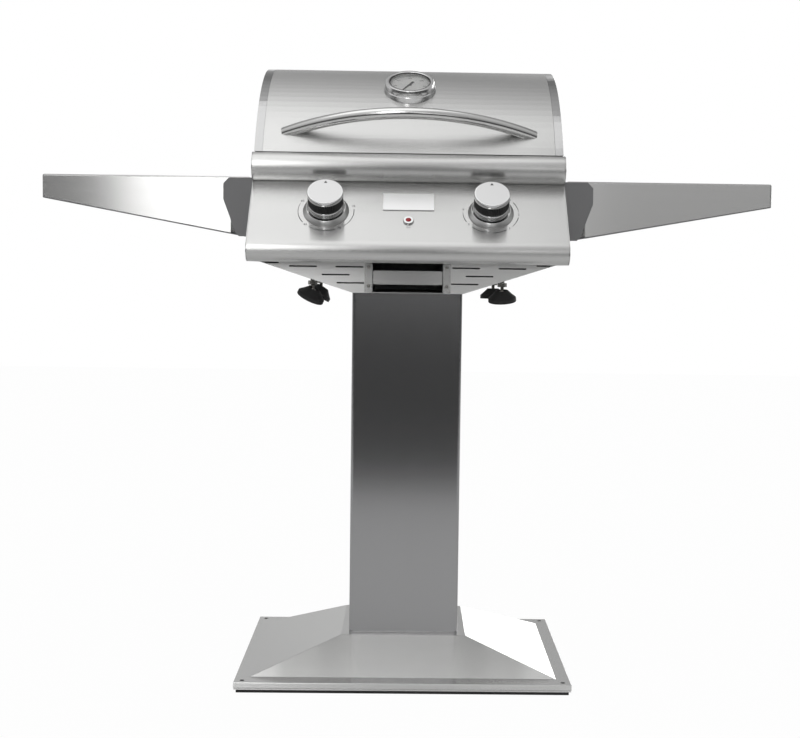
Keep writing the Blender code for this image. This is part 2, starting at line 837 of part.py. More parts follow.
def rail_line():
    """Section of the front rail, a half round between two short flanges."""
    centre = (RAIL_CENTRE_Y, RAIL_CENTRE_Z)
    bow = arc(centre, RAIL_RADIUS, math.pi / 2, math.pi * 3 / 2, RAIL_ARC_STEP)
    flange_y = FIREBOX_FRONT_Y - LEDGE_WIDTH - SHEET - GAP
    return [(flange_y, BODY_TOP_Z), *bow]


def side_panel():
    """Right side: an outline around the whole section, folded inwards along its top."""
    outline = [(UNDERBODY_REAR_Y, PANEL_Z)]
    outline += panel_line()[1:]
    outline += list(reversed(rail_line()[1:]))
    fold_start = len(outline)
    outline += [
        (FIREBOX_FRONT_Y - LEDGE_WIDTH, BODY_TOP_Z),
        (BODY_REAR_Y, BODY_TOP_Z),
        (BODY_REAR_Y, LEDGE_Z - SHEET),
        (UNDERBODY_REAR_Y, LEDGE_Z - SHEET),
    ]
    x = BODY_WIDTH / 2
    points = [(x, y, z) for y, z in outline]
    points += [(x - SEAT_FLANGE, y, z) for y, z in outline[fold_start : fold_start + 2]]
    count = len(outline)
    faces = [
        tuple(reversed(range(count))),
        (fold_start, fold_start + 1, count + 1, count),
    ]
    return surface_object("side_panel_right", points, faces, STAINLESS, SHEET, -1.0)


# Control panel and front rail with what is fixed to them
def control_head():
    half = BODY_WIDTH / 2 - SHEET - GAP
    panel = folded_sheet("control_panel", panel_line(), "YZ", -half, half, STAINLESS, 1.0)
    folded_sheet("front_rail", rail_line(), "YZ", -half, half, STAINLESS, -1.0)
    line = panel_line()
    low = Vector(line[-2])
    high = Vector(line[-1])
    middle = (low + high) / 2
    frame = add_frame("panel_frame", (0.0, middle.x, middle.y), PANEL_SLOPE)
    badge = box(
        "badge_plate",
        (BADGE_WIDTH, BADGE_HEIGHT, BADGE_THICKNESS),
        (0.0, 0.0, 0.0),
        STAINLESS,
    )
    hang(badge, frame, (0.0, BADGE_UP, GAP + BADGE_THICKNESS / 2))
    indicator(panel, frame)
    for name, x in (("timer", -KNOB_OFFSET), ("thermostat", KNOB_OFFSET)):
        control_knob(name, panel, frame, x)


def indicator(panel, frame):
    bore = LENS_RADIUS + GAP
    ring = turned(
        "indicator_bezel",
        [
            (bore, INDICATOR_HEIGHT),
            (INDICATOR_RADIUS - INDICATOR_HEIGHT / 3, INDICATOR_HEIGHT),
            (INDICATOR_RADIUS, INDICATOR_HEIGHT * 2 / 3),
            (INDICATOR_RADIUS, 0.0),
            (bore, 0.0),
        ],
        POLISHED,
        closed=True,
    )
    hang(ring, frame, (0.0, -INDICATOR_DOWN, GAP))
    dome = [
        (LENS_RADIUS * math.cos(a), INDICATOR_HEIGHT + LENS_RADIUS / 3 * math.sin(a))
        for a in (math.pi / 2, math.pi / 3, math.pi / 6, 0.0)
    ]
    dome[0] = (0.0, dome[0][1])
    lens = turned(
        "indicator_lens",
        [*dome, (LENS_RADIUS, -LENS_DEPTH), (0.0, -LENS_DEPTH)],
        RED_LENS,
        steps=SMALL_ROUND_STEPS,
    )
    hang(lens, frame, (0.0, -INDICATOR_DOWN, GAP))
    panel_hole(panel, frame, "indicator_hole", (0.0, -INDICATOR_DOWN), bore)


def panel_hole(panel, frame, name, place, radius):
    depth = 4 * SHEET
    hole = rod(name, radius, (0.0, 0.0, -depth), (0.0, 0.0, depth), STAINLESS)
    hang(hole, frame, (*place, 0.0))
    cut(panel, hole)


def control_knob(name, panel, frame, x):
    """A knob with its shaft and grip, the bezel around it and the switch behind it."""
    skirt_top = KNOB_FOOT_GAP + KNOB_SKIRT_HEIGHT
    cap_bottom = KNOB_HEIGHT - KNOB_CAP_HEIGHT
    core = KNOB_RADIUS - KNOB_GRIP_DEPTH
    bevelled = KNOB_RADIUS - KNOB_EDGE
    knob = turned(
        name + "_knob",
        [
            (0.0, KNOB_HEIGHT),
            (bevelled, KNOB_HEIGHT),
            (KNOB_RADIUS, KNOB_HEIGHT - KNOB_EDGE),
            (KNOB_RADIUS, cap_bottom),
            (core, cap_bottom),
            (core, skirt_top),
            (bevelled, skirt_top),
            (KNOB_RADIUS, skirt_top - KNOB_EDGE),
            (KNOB_RADIUS, KNOB_FOOT_GAP),
            (SHAFT_RADIUS, KNOB_FOOT_GAP),
            (SHAFT_RADIUS, -SHAFT_REACH),
            (0.0, -SHAFT_REACH),
        ],
        POLISHED,
    )
    hang(knob, frame, (x, 0.0, 0.0))
    grip = turned(
        name + "_knob_grip",
        [
            (core + GAP, cap_bottom - GAP),
            (KNOB_RADIUS, cap_bottom - GAP),
            (KNOB_RADIUS, skirt_top + GAP),
            (core + GAP, skirt_top + GAP),
        ],
        BLACK_PLASTIC,
        closed=True,
    )
    hang(grip, frame, (x, 0.0, 0.0))
    bore = KNOB_RADIUS + BEZEL_BORE_CLEARANCE
    bezel = turned(
        name + "_bezel",
        [
            (bore, BEZEL_HEIGHT),
            (bore + BEZEL_LAND, BEZEL_HEIGHT),
            (BEZEL_RADIUS, BEZEL_EDGE),
            (BEZEL_RADIUS, 0.0),
            (bore, 0.0),
        ],
        POLISHED,
        closed=True,
    )
    hang(bezel, frame, (x, 0.0, GAP))
    unit = box(name + "_unit", (SWITCH_WIDTH, SWITCH_HEIGHT, SWITCH_DEPTH), (0.0, 0.0, 0.0), BLACK_PLASTIC)
    hang(unit, frame, (x, 0.0, -SHEET - GAP - SWITCH_DEPTH / 2))
    socket_depth = SHAFT_REACH + GAP * 2
    bore_tool = rod(
        name + "_shaft_bore",
        SHAFT_RADIUS + RUNNING_GAP,
        (0.0, 0.0, -socket_depth),
        (0.0, 0.0, 0.0),
        BLACK_PLASTIC,
    )
    bore_tool.parent = frame
    bore_tool.location.x = x
    cut(unit, bore_tool)
    panel_hole(panel, frame, name + "_shaft_hole", (x, 0.0), SHAFT_RADIUS + RUNNING_GAP)


# Lid
def lid_line(offset=0.0):
    """Side section of the lid's outer face from its front edge over the crown to the back."""
    centre = (LID_CENTRE_Y, LID_CENTRE_Z)
    radius = LID_RADIUS + offset
    front = arc(centre, radius, math.pi - LID_FRONT_ELEVATION, math.pi - LID_CROWN_ELEVATION,
                LID_ARC_STEP)
    step = LID_RADIUS - LID_REAR_RADIUS
    rear_centre = (
        LID_CENTRE_Y - step * math.cos(LID_CROWN_ELEVATION),
        LID_CENTRE_Z + step * math.sin(LID_CROWN_ELEVATION),
    )
    rear = arc(rear_centre, LID_REAR_RADIUS + offset, math.pi - LID_CROWN_ELEVATION, 0.0,
               LID_REAR_ARC_STEP)
    return front + rear[1:] + [(rear[-1][0], LID_SEAT_Z)]


def lid_back_y():
    return lid_line()[-1][0]


def lid_face(elevation):
    """Point on the lid's outer face at an elevation of its front arc."""
    y = LID_CENTRE_Y - LID_RADIUS * math.cos(elevation)
    z = LID_CENTRE_Z + LID_RADIUS * math.sin(elevation)
    return Vector((0.0, y, z))


def lid_core(name, offset):
    """The solid that the lid's outer face encloses, grown by an offset, as a cutter."""
    return plate(name, [lid_line(offset)], "YZ", -LID_WIDTH / 2, LID_WIDTH / 2, STAINLESS)


def lid():
    inner_edge = LID_WIDTH / 2 - LID_END_WIDTH - GAP
    shell = folded_sheet("lid_shell", lid_line(), "YZ", -inner_edge, inner_edge, STAINLESS, 1.0)
    smooth(shell)
    end = lid_end()
    mirrored(end, "lid_end_left", POLISHED)
    handle()
    thermometer(shell)


def lid_end():
    """End cap: a band that carries on the shell's curve, an end plate and a hinge ear."""
    outline = lid_line()
    x = LID_WIDTH / 2
    points = [(x, y, z) for y, z in outline]
    points += [(x - LID_END_WIDTH, y, z) for y, z in outline]
    count = len(outline)
    faces = [tuple(reversed(range(count)))]
    faces += [(i, i + 1, count + i + 1, count + i) for i in range(count - 1)]
    end = surface_object("lid_end_right", points, faces, POLISHED, SHEET, -1.0)
    pin_y, pin_z = hinge_place()
    ear = plate(
        "lid_ear",
        [hinge_ear_outline(lid_back_y() - HINGE_PLATE, LID_SEAT_Z, 2 * HINGE_RISE)],
        "YZ",
        x - HINGE_PLATE,
        x,
        POLISHED,
    )
    unite(end, ear)
    hole = rod(
        "lid_ear_hole",
        HINGE_PIN_RADIUS + RUNNING_GAP,
        (x - 2 * LID_END_WIDTH, pin_y, pin_z),
        (x + LID_END_WIDTH, pin_y, pin_z),
        POLISHED,
    )
    cut(end, hole)
    return end


def hinge_place():
    return lid_back_y() + HINGE_BEHIND, BODY_TOP_Z + HINGE_RISE


def hinge_ear_outline(root_y, low_z, height):
    """A lug from an upright root to a round end about the hinge pin."""
    pin = hinge_place()
    bow = arc(pin, HINGE_EAR_RADIUS, -math.pi / 2, math.pi / 2, SMALL_ARC_STEP)
    return [(root_y, low_z), *bow, (root_y, low_z + height)]


def hinges():
    """Body bracket and pin on the right, with their left-hand twins."""
    pin_y, pin_z = hinge_place()
    end_inner = LID_WIDTH / 2 - LID_END_WIDTH
    bracket_x = end_inner - HINGE_PLATE - GAP * 2
    foot_z = LEDGE_Z
    root_y = BODY_REAR_Y + GAP
    bow = arc((pin_y, pin_z), HINGE_EAR_RADIUS, 0.0, math.pi * 3 / 4, SMALL_ARC_STEP)
    outline = [
        (root_y, foot_z),
        (pin_y + HINGE_EAR_RADIUS, foot_z + 2 * HINGE_EAR_RADIUS),
        *bow,
        (root_y, pin_z - HINGE_EAR_RADIUS),
    ]
    bracket = plate("hinge_bracket_right", [outline], "YZ", bracket_x, bracket_x + HINGE_PLATE, STAINLESS)
    hole = rod(
        "bracket_hole",
        HINGE_PIN_RADIUS + RUNNING_GAP,
        (bracket_x - HINGE_PLATE, pin_y, pin_z),
        (bracket_x + 2 * HINGE_PLATE, pin_y, pin_z),
        STAINLESS,
    )
    cut(bracket, hole)
    pin = rod(
        "hinge_pin_right",
        HINGE_PIN_RADIUS,
        (bracket_x - HINGE_PLATE, pin_y, pin_z),
        (LID_WIDTH / 2 + GAP * 2, pin_y, pin_z),
        POLISHED,
    )
    mirrored(bracket, "hinge_bracket_left", STAINLESS)
    mirrored(pin, "hinge_pin_left", POLISHED)


def handle():
    """A bowed tube that stands out along the lid's normal, its ends mitred to the lid."""
    centre = lid_face(HANDLE_ELEVATION)
    outward = Vector((0.0, -math.cos(HANDLE_ELEVATION), math.sin(HANDLE_ELEVATION)))
    radius = ((HANDLE_SPAN / 2) ** 2 + HANDLE_BOW**2) / (2 * HANDLE_BOW)
    spread = math.asin(HANDLE_SPAN / 2 / radius) * HANDLE_OVERRUN
    points = []
    for index in range(HANDLE_STEPS + 1):
        turn = spread * (2 * index / HANDLE_STEPS - 1)
        rise = radius * math.cos(turn) - (radius - HANDLE_BOW)
        points.append(centre + outward * rise + Vector((radius * math.sin(turn), 0.0, 0.0)))
    bar = tube("lid_handle", points, HANDLE_RADIUS, STAINLESS, sides=3)
    cut(bar, lid_core("handle_mitre", GAP))


def thermometer(shell):
    place = lid_face(THERMOMETER_ELEVATION)
    frame = add_frame("thermometer_frame", place, math.pi / 2 - THERMOMETER_ELEVATION)
    dial_bottom = THERMOMETER_DIAL_HEIGHT
    dial_top = dial_bottom + SHEET
    glass_top = THERMOMETER_HEIGHT - 2 * SHEET
    glass_bottom = glass_top - GLASS_THICKNESS
    lip = THERMOMETER_GLASS_RADIUS
    inner = THERMOMETER_GLASS_RADIUS + SHEET
    stem = PROBE_RADIUS + GAP
    foot = -THERMOMETER_SKIRT
    case = turned(
        "thermometer_case",
        [
            (lip, THERMOMETER_HEIGHT),
            (THERMOMETER_TOP_RADIUS - SHEET, THERMOMETER_HEIGHT),
            (THERMOMETER_TOP_RADIUS, THERMOMETER_HEIGHT - SHEET),
            (THERMOMETER_BASE_RADIUS, foot),
            (stem, foot),
            (stem, dial_bottom - GAP),
            (inner, dial_bottom - GAP),
            (inner, glass_top + GAP),
            (lip, glass_top + GAP),
        ],
        POLISHED,
        steps=FINE_ROUND_STEPS,
        closed=True,
    )
    hang(case, frame)
    cut(case, lid_core("thermometer_saddle", GAP))
    dial = turned(
        "thermometer_dial",
        [
            (stem, dial_top),
            (inner - GAP, dial_top),
            (inner - GAP, dial_bottom),
            (stem, dial_bottom),
        ],
        WHITE_DIAL,
        closed=True,
    )
    hang(dial, frame)
    glass = turned(
        "thermometer_glass",
        [
            (0.0, glass_top),
            (inner - GAP, glass_top),
            (inner - GAP, glass_bottom),
            (0.0, glass_bottom),
        ],
        CLEAR_GLASS,
    )
    hang(glass, frame)
    needle_z = dial_top + GAP * 2
    half = NEEDLE_WIDTH / 2
    tip = NEEDLE_TIP_WIDTH / 2
    tail = NEEDLE_TAIL_WIDTH / 2
    needle = plate(
        "thermometer_needle",
        [
            [
                (-tip, NEEDLE_REACH),
                (-half, 0.0),
                (-tail, -NEEDLE_TAIL),
                (tail, -NEEDLE_TAIL),
                (half, 0.0),
                (tip, NEEDLE_REACH),
            ]
        ],
        "XY",
        needle_z,
        needle_z + NEEDLE_THICKNESS,
        BLACK_PLASTIC,
    )
    hang(needle, frame)
    needle.rotation_euler = (0.0, 0.0, NEEDLE_REST_TURN)
    probe = turned(
        "thermometer_probe",
        [
            (0.0, needle_z - GAP),
            (PROBE_RADIUS, needle_z - GAP),
            (PROBE_RADIUS, -PROBE_LENGTH),
            (0.0, -PROBE_LENGTH),
        ],
        STAINLESS,
        steps=SMALL_ROUND_STEPS,
    )
    hang(probe, frame)
    hole = rod(
        "probe_hole",
        PROBE_RADIUS + RUNNING_GAP,
        (0.0, 0.0, -4 * SHEET),
        (0.0, 0.0, 4 * SHEET),
        STAINLESS,
    )
    hang(hole, frame)
    cut(shell, hole)


# Cooking grates, heating element and its support
ELEMENT_Z = LEDGE_Z - ELEMENT_DROP
INLET_Z = FLOOR_Z + INLET_RISE


def grates():
    front_y = FIREBOX_FRONT_Y - LEDGE_WIDTH + GRATE_END_CLEARANCE
    rear_y = BODY_REAR_Y - 2 * SHEET - GRATE_END_CLEARANCE
    depth = rear_y - front_y
    outer_x = BODY_WIDTH / 2 - SEAT_FLANGE - GRATE_SIDE_CLEARANCE
    width = outer_x - GRATE_SIDE_CLEARANCE / 2
    centre = (outer_x - width / 2, (front_y + rear_y) / 2)
    border = 2 * GRATE_BAR
    pitch = GRATE_BAR + GRATE_SLOT
    count = int((width - 2 * border + GRATE_BAR) // pitch)
    loops = [rectangle(width, depth, centre)]
    for index in range(count):
        x = centre[0] + (index - (count - 1) / 2) * pitch
        loops.append(rectangle(GRATE_SLOT, depth - 2 * border, (x, centre[1])))
    low = LEDGE_Z + GAP
    right = plate("cooking_grate_right", loops, "XY", low, low + GRATE_THICKNESS, CAST_IRON)
    mirrored(right, "cooking_grate_left", CAST_IRON)


def element_lead_places():
    reach = ELEMENT_RUN_LENGTH / 2
    return (-reach, reach)


def heating_element():
    """Straight runs joined by half turns, both ends led forward through the front wall."""
    left, right = element_lead_places()
    turn = ELEMENT_PITCH / 2
    bend_places = (right - ELEMENT_LEAD_MARGIN - turn, left + turn)
    first_y = FIREBOX_FRONT_Y + ELEMENT_FRONT_MARGIN
    last_y = first_y + (ELEMENT_RUNS - 1) * ELEMENT_PITCH
    lead_y = FIREBOX_FRONT_Y - ELEMENT_LEAD_REACH
    bend = arc((0.0, 0.0), turn, -math.pi / 2, math.pi / 2, ELEMENT_ARC_STEP)
    points = [(left, lead_y), (left, first_y)]
    for run in range(ELEMENT_RUNS - 1):
        side = 1 if run % 2 == 0 else -1
        middle_y = first_y + run * ELEMENT_PITCH + turn
        points += [(bend_places[run % 2] + side * a, middle_y + b) for a, b in bend]
    points += [(right, last_y), (right, lead_y)]
    tube("heating_element", [(x, y, ELEMENT_Z) for x, y in points], ELEMENT_RADIUS, STAINLESS)


def element_support():
    top = ELEMENT_Z - ELEMENT_RADIUS - GAP
    box_between(
        "element_support",
        (-SUPPORT_WIDTH / 2, FIREBOX_FRONT_Y + SHEET + GAP, top - HEAVY_SHEET),
        (SUPPORT_WIDTH / 2, UNDERBODY_REAR_Y - GAP, top),
        GALVANISED,
    )


# Drip tray and the rails that carry it
def drip_tray():
    front_y = -UNDERBODY_DEPTH_FRONT - GAP - SHEET
    low = UNDERBODY_Z + TRAY_RISE
    high = low + TRAY_FRONT_HEIGHT - SHEET
    half = TRAY_FRONT_WIDTH / 2 - TRAY_FLANGE
    flange = TRAY_FRONT_WIDTH / 2
    rear_y = front_y + TRAY_LENGTH
    tray = folded_sheet(
        "drip_tray",
        [(-flange, high), (-half, high), (-half, low), (half, low), (half, high), (flange, high)],
        "XZ",
        front_y + SHEET,
        rear_y,
        STAINLESS,
        -1.0,
    )
    for name, y in (("front", front_y), ("rear", rear_y - SHEET)):
        width = flange if name == "front" else half
        top = high + SHEET if name == "front" else high
        wall = box_between(
            "tray_wall_" + name,
            (-width, y, low - SHEET / 2),
            (width, y + SHEET * 1.5, top),
            STAINLESS,
        )
        unite(tray, wall)


def tray_rail():
    """Right rail: a strip in front of the panel, a web and the ledge for the tray."""
    strip_x = TRAY_OPENING_WIDTH / 2 - GAP * 2
    front_y = -UNDERBODY_DEPTH_FRONT - GAP
    ledge_z = UNDERBODY_Z + TRAY_RISE + TRAY_FRONT_HEIGHT - 2 * SHEET - GAP
    web_low = UNDERBODY_Z + SHEET + GAP
    rail = box_between(
        "tray_rail_right",
        (strip_x - SHEET, front_y - SHEET, web_low),
        (strip_x + RAIL_STRIP_WIDTH, front_y, FLOOR_Z - 3 * SHEET),
        STAINLESS,
    )
    web = box_between(
        "tray_rail_web",
        (strip_x - SHEET, front_y - SHEET / 2, web_low),
        (strip_x, UNDERBODY_REAR_Y - GAP, ledge_z),
        STAINLESS,
    )
    ledge = box_between(
        "tray_rail_ledge",
        (strip_x - RAIL_LEDGE, front_y + 2 * SHEET, ledge_z - SHEET),
        (strip_x - SHEET / 2, UNDERBODY_REAR_Y - GAP, ledge_z),
        STAINLESS,
    )
    unite(rail, web)
    unite(rail, ledge)
    mirrored(rail, "tray_rail_left", STAINLESS)


# Side shelves, lifted off their brackets
def shelf():
    low_x = SHELF_INNER_X
    high_x = SHELF_INNER_X + SHELF_LENGTH
    front = SHELF_FRONT_Y
    rear = SHELF_FRONT_Y + SHELF_DEPTH
    inner_low = SHELF_Z - APRON_INNER
    outer_low = SHELF_Z - APRON_OUTER
    points = [
        (low_x, front, SHELF_Z),
        (high_x, front, SHELF_Z),
        (high_x, rear, SHELF_Z),
        (low_x, rear, SHELF_Z),
        (low_x, front, inner_low),
        (high_x, front, outer_low),
        (high_x, rear, outer_low),
        (low_x, rear, inner_low),
    ]
    faces = [(0, 1, 2, 3), (4, 5, 1, 0), (5, 6, 2, 1), (6, 7, 3, 2)]
    board = surface_object("shelf_right", points, faces, STAINLESS, SHEET, -1.0, bevel=FOLD_RADIUS)
    stud_x, stud_z = stud_place()
    half = STUD_RADIUS + SLOT_CLEARANCE
    slot = box_between(
        "shelf_slot",
        (stud_x - half, front - STUD_LENGTH, inner_low - STUD_LENGTH),
        (stud_x + half, rear + STUD_LENGTH, stud_z + half),
        STAINLESS,
    )
    cut(board, slot)
    mirrored(board, "shelf_left", STAINLESS)


def stud_place():
    return BODY_WIDTH / 2 + STUD_REACH, SHELF_Z - STUD_DROP


def shelf_bracket():
    """A folded channel on the side panel: two ears, a ledge under the shelf, two studs."""
    x = BODY_WIDTH / 2 + GAP
    front = SHELF_FRONT_Y - GAP - SHEET
    rear = SHELF_FRONT_Y + SHELF_DEPTH + GAP + SHEET
    top = SHELF_Z - SHEET - GAP
    low = top - BRACKET_HEIGHT
    outer = x + BRACKET_REACH
    foot = x + BRACKET_FOOT
    ear = [
        (x, low),
        (foot, low),
        (foot + BRACKET_FOOT_CHAMFER, low + BRACKET_FOOT_CHAMFER),
        (outer, top - BRACKET_STRAIGHT),
        (outer, top - BRACKET_CHAMFER),
        (outer - BRACKET_CHAMFER, top),
        (x, top),
    ]
    count = len(ear)
    points = [(a, front, z) for a, z in ear] + [(a, rear, z) for a, z in ear]
    ledge_front = front + BRACKET_LEDGE_INSET
    ledge_rear = rear - BRACKET_LEDGE_INSET
    reach = x + BRACKET_LEDGE
    points += [
        (x, ledge_front, top),
        (x, ledge_rear, top),
        (reach, ledge_rear, top),
        (reach, ledge_front, top),
    ]
    ledge = 2 * count
    faces = [
        tuple(range(count)),
        tuple(reversed(range(count, 2 * count))),
        (0, count - 1, ledge, ledge + 1, 2 * count - 1, count),
        (ledge, ledge + 3, ledge + 2, ledge + 1),
    ]
    bracket = surface_object("shelf_bracket_right", points, faces, STAINLESS, SHEET, -1.0)
    stud_x, stud_z = stud_place()
    for name, y, inward in (("front", front, 1.0), ("rear", rear, -1.0)):
        stud = rod(
            "bracket_stud_" + name,
            STUD_RADIUS,
            (stud_x, y + inward * SHEET / 2, stud_z),
            (stud_x, y + inward * STUD_LENGTH, stud_z),
            STAINLESS,
        )
        unite(bracket, stud)
    mirrored(bracket, "shelf_bracket_left", STAINLESS)


# Adjustable feet: threaded stud with hexagon and ball, rubber pad on the ball
def foot_ball_z(x):
    return floor_height(x) - FOOT_BALL_DROP - FOOT_HEX_DROP


def foot_stud(name, x, y):
    """Thread, hexagon, neck and ball, turned as one with the hexagon joined on."""
    ball_z = foot_ball_z(x)
    hex_low = floor_height(x) - FOOT_HEX_DROP - FOOT_HEX_HEIGHT - ball_z
    hex_high = hex_low + FOOT_HEX_HEIGHT
    top = floor_height(x) + FOOT_THREAD_REACH - ball_z
    neck_turn = math.acos(FOOT_NECK_RADIUS / FOOT_BALL_RADIUS)
    ball = arc((0.0, 0.0), FOOT_BALL_RADIUS, neck_turn, -math.pi / 2, BALL_ARC_STEP)
    ball[-1] = (0.0, -FOOT_BALL_RADIUS)
    stud = turned(
        name,
        [
            (0.0, top),
            (FOOT_THREAD_RADIUS, top),
            (FOOT_THREAD_RADIUS, hex_low),
            (FOOT_NECK_RADIUS, hex_low),
            *ball,
        ],
        POLISHED,
        steps=SMALL_ROUND_STEPS,
    )
    stud.location = (x, y, ball_z)
    hexagon = rod(
        name + "_hexagon",
        FOOT_HEX_ACROSS / math.sqrt(3),
        (x, y, ball_z + hex_low),
        (x, y, ball_z + hex_high),
        POLISHED,
        steps=6,
    )
    unite(stud, hexagon)
    return stud


def foot_pad(name, x, y, lean, tilt):
    """A rubber cone whose socket holds the ball just past its widest circle."""
    bottom = -PAD_BELOW_BALL
    socket = FOOT_BALL_RADIUS + GAP
    bowl = arc((0.0, 0.0), socket, -math.pi / 2, PAD_MOUTH_ELEVATION, BALL_ARC_STEP)
    bowl[0] = (0.0, -socket)
    rim_z = socket * math.sin(PAD_MOUTH_ELEVATION)
    top = bottom + PAD_HEIGHT
    pad = turned(
        name,
        [
            *bowl,
            (PAD_TOP_RADIUS - SHEET, max(top, rim_z + SHEET)),
            (PAD_TOP_RADIUS, max(top, rim_z + SHEET) - SHEET),
            (PAD_RADIUS, bottom + PAD_EDGE),
            (PAD_RADIUS, bottom),
            (0.0, bottom),
        ],
        RUBBER,
        steps=PAD_ROUND_STEPS,
    )
    pad.location = (x, y, foot_ball_z(x))
    pad.rotation_euler = (lean, tilt, 0.0)


def feet():
    """The pads hang at the angles that they have come to rest at."""
    for corner, tilt in PAD_REST_TILTS.items():
        x = FOOT_X if corner.endswith("right") else -FOOT_X
        y = FOOT_FRONT_Y if corner.startswith("front") else FOOT_REAR_Y
        foot_stud("foot_stud_" + corner, x, y)
        foot_pad("foot_pad_" + corner, x, y, PAD_REST_LEANS[corner.split("_")[0]], tilt)


# Power inlet in the rear panel
def power_inlet():
    face_y = UNDERBODY_REAR_Y + SHEET + GAP
    inlet = box_between(
        "power_inlet",
        (INLET_X - INLET_WIDTH / 2, face_y, INLET_Z - INLET_HEIGHT / 2),
        (INLET_X + INLET_WIDTH / 2, face_y + INLET_FLANGE, INLET_Z + INLET_HEIGHT / 2),
        BLACK_PLASTIC,
    )
    body = box_between(
        "inlet_body",
        (
            INLET_X - INLET_BODY_WIDTH / 2,
            face_y - INLET_BODY_DEPTH,
            INLET_Z - INLET_BODY_HEIGHT / 2,
        ),
        (
            INLET_X + INLET_BODY_WIDTH / 2,
            face_y + INLET_FLANGE / 2,
            INLET_Z + INLET_BODY_HEIGHT / 2,
        ),
        BLACK_PLASTIC,
    )
    recess = box_between(
        "inlet_recess",
        (
            INLET_X - INLET_BODY_WIDTH / 2 + INLET_WALL,
            face_y - INLET_BODY_DEPTH + INLET_WALL,
            INLET_Z - INLET_BODY_HEIGHT / 2 + INLET_WALL,
        ),
        (
            INLET_X + INLET_BODY_WIDTH / 2 - INLET_WALL,
            face_y + 2 * INLET_FLANGE,
            INLET_Z + INLET_BODY_HEIGHT / 2 - INLET_WALL,
        ),
        BLACK_PLASTIC,
    )
    unite(inlet, body)
    cut(inlet, recess)


def stand_on_middle():
    rear = hinge_place()[0] + HINGE_EAR_RADIUS
    front = -BASE_DEPTH / 2
    for item in bpy.data.objects:
        if item.parent is None:
            item.location.y -= (front + rear) / 2


base()
column()
underbody()
firebox()
control_head()
lid()
hinges()
grates()
heating_element()
element_support()
drip_tray()
tray_rail()
shelf()
shelf_bracket()
feet()
power_inlet()
stand_on_middle()
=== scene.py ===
"""Electric grill on a pedestal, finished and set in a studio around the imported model.

Metres, +Z up, knobs on the -Y side, origin on the ground under the middle of the grill.
"""

import json
import math

import bmesh
import bpy
from mathutils import Matrix, Vector

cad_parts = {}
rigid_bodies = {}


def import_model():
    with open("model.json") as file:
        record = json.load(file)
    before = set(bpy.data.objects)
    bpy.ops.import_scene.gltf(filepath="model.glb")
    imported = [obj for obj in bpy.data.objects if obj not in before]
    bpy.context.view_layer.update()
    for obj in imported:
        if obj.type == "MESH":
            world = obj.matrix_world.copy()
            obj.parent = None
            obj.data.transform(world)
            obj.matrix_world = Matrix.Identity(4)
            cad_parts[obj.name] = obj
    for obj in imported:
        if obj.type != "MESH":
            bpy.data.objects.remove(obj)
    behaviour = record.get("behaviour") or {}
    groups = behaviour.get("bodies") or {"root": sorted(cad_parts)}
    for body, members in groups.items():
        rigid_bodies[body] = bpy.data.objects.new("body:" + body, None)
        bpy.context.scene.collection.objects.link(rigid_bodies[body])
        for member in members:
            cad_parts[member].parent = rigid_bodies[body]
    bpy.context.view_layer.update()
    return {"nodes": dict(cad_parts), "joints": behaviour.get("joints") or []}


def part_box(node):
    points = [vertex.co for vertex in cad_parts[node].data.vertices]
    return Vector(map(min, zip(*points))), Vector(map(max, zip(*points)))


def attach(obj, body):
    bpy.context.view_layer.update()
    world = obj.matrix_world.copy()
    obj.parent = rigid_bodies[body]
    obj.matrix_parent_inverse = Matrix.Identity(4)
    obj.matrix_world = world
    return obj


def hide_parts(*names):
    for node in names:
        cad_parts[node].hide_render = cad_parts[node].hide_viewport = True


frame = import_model()
nodes = frame["nodes"]
joints = {joint["name"]: joint for joint in frame["joints"]}


# Foot ring: a black ring, moulded with a fine matt grain, under the edge of the base. Its black band
# is partly painted shade, for the contact shadow under the base's rim.
def linear(hex_colour):
    """The linear colour of an sRGB hex value such as "#808080"."""
    levels = [int(hex_colour[i : i + 2], 16) / 255 for i in (1, 3, 5)]
    bent = [v / 12.92 if v <= 0.04045 else ((v + 0.055) / 1.055) ** 2.4 for v in levels]
    return (*bent, 1.0)


def add_node(tree, kind, settings=(), links=()):
    """A node with its settings, whose inputs are linked to sockets of earlier nodes."""
    node = tree.nodes.new(kind)
    for name, value in dict(settings).items():
        if name in node.inputs and not hasattr(node, name):
            node.inputs[name].default_value = value
        else:
            setattr(node, name, value)
    for name, socket in dict(links).items():
        tree.links.new(socket, node.inputs[name])
    return node


def new_material(name, colour, roughness, metallic=0.0, **settings):
    """A material with the plain values of its surface; patterns are linked in afterwards."""
    material = bpy.data.materials.new(name)
    material.use_nodes = True
    shader = material.node_tree.nodes["Principled BSDF"]
    shader.inputs["Base Color"].default_value = linear(colour)
    shader.inputs["Roughness"].default_value = roughness
    shader.inputs["Metallic"].default_value = metallic
    for key, value in settings.items():
        shader.inputs[key.replace("_", " ")].default_value = value
    return material, material.node_tree, shader


def finish(material, *names):
    """Gives CAD nodes their material."""
    for name in names:
        nodes[name].data.materials.clear()
        nodes[name].data.materials.append(material)


def grain(tree, shader, size, depth):
    """A fine moulded or cast grain of a size and depth in metres."""
    place = add_node(tree, "ShaderNodeTexCoord")
    noise = add_node(
        tree, "ShaderNodeTexNoise", {"Scale": 1 / size, "Detail": 2.0},
        {"Vector": place.outputs["Object"]},
    )
    bump = add_node(
        tree, "ShaderNodeBump", {"Strength": 0.5, "Distance": depth},
        {"Height": noise.outputs["Fac"]},
    )
    tree.links.new(bump.outputs["Normal"], shader.inputs["Normal"])


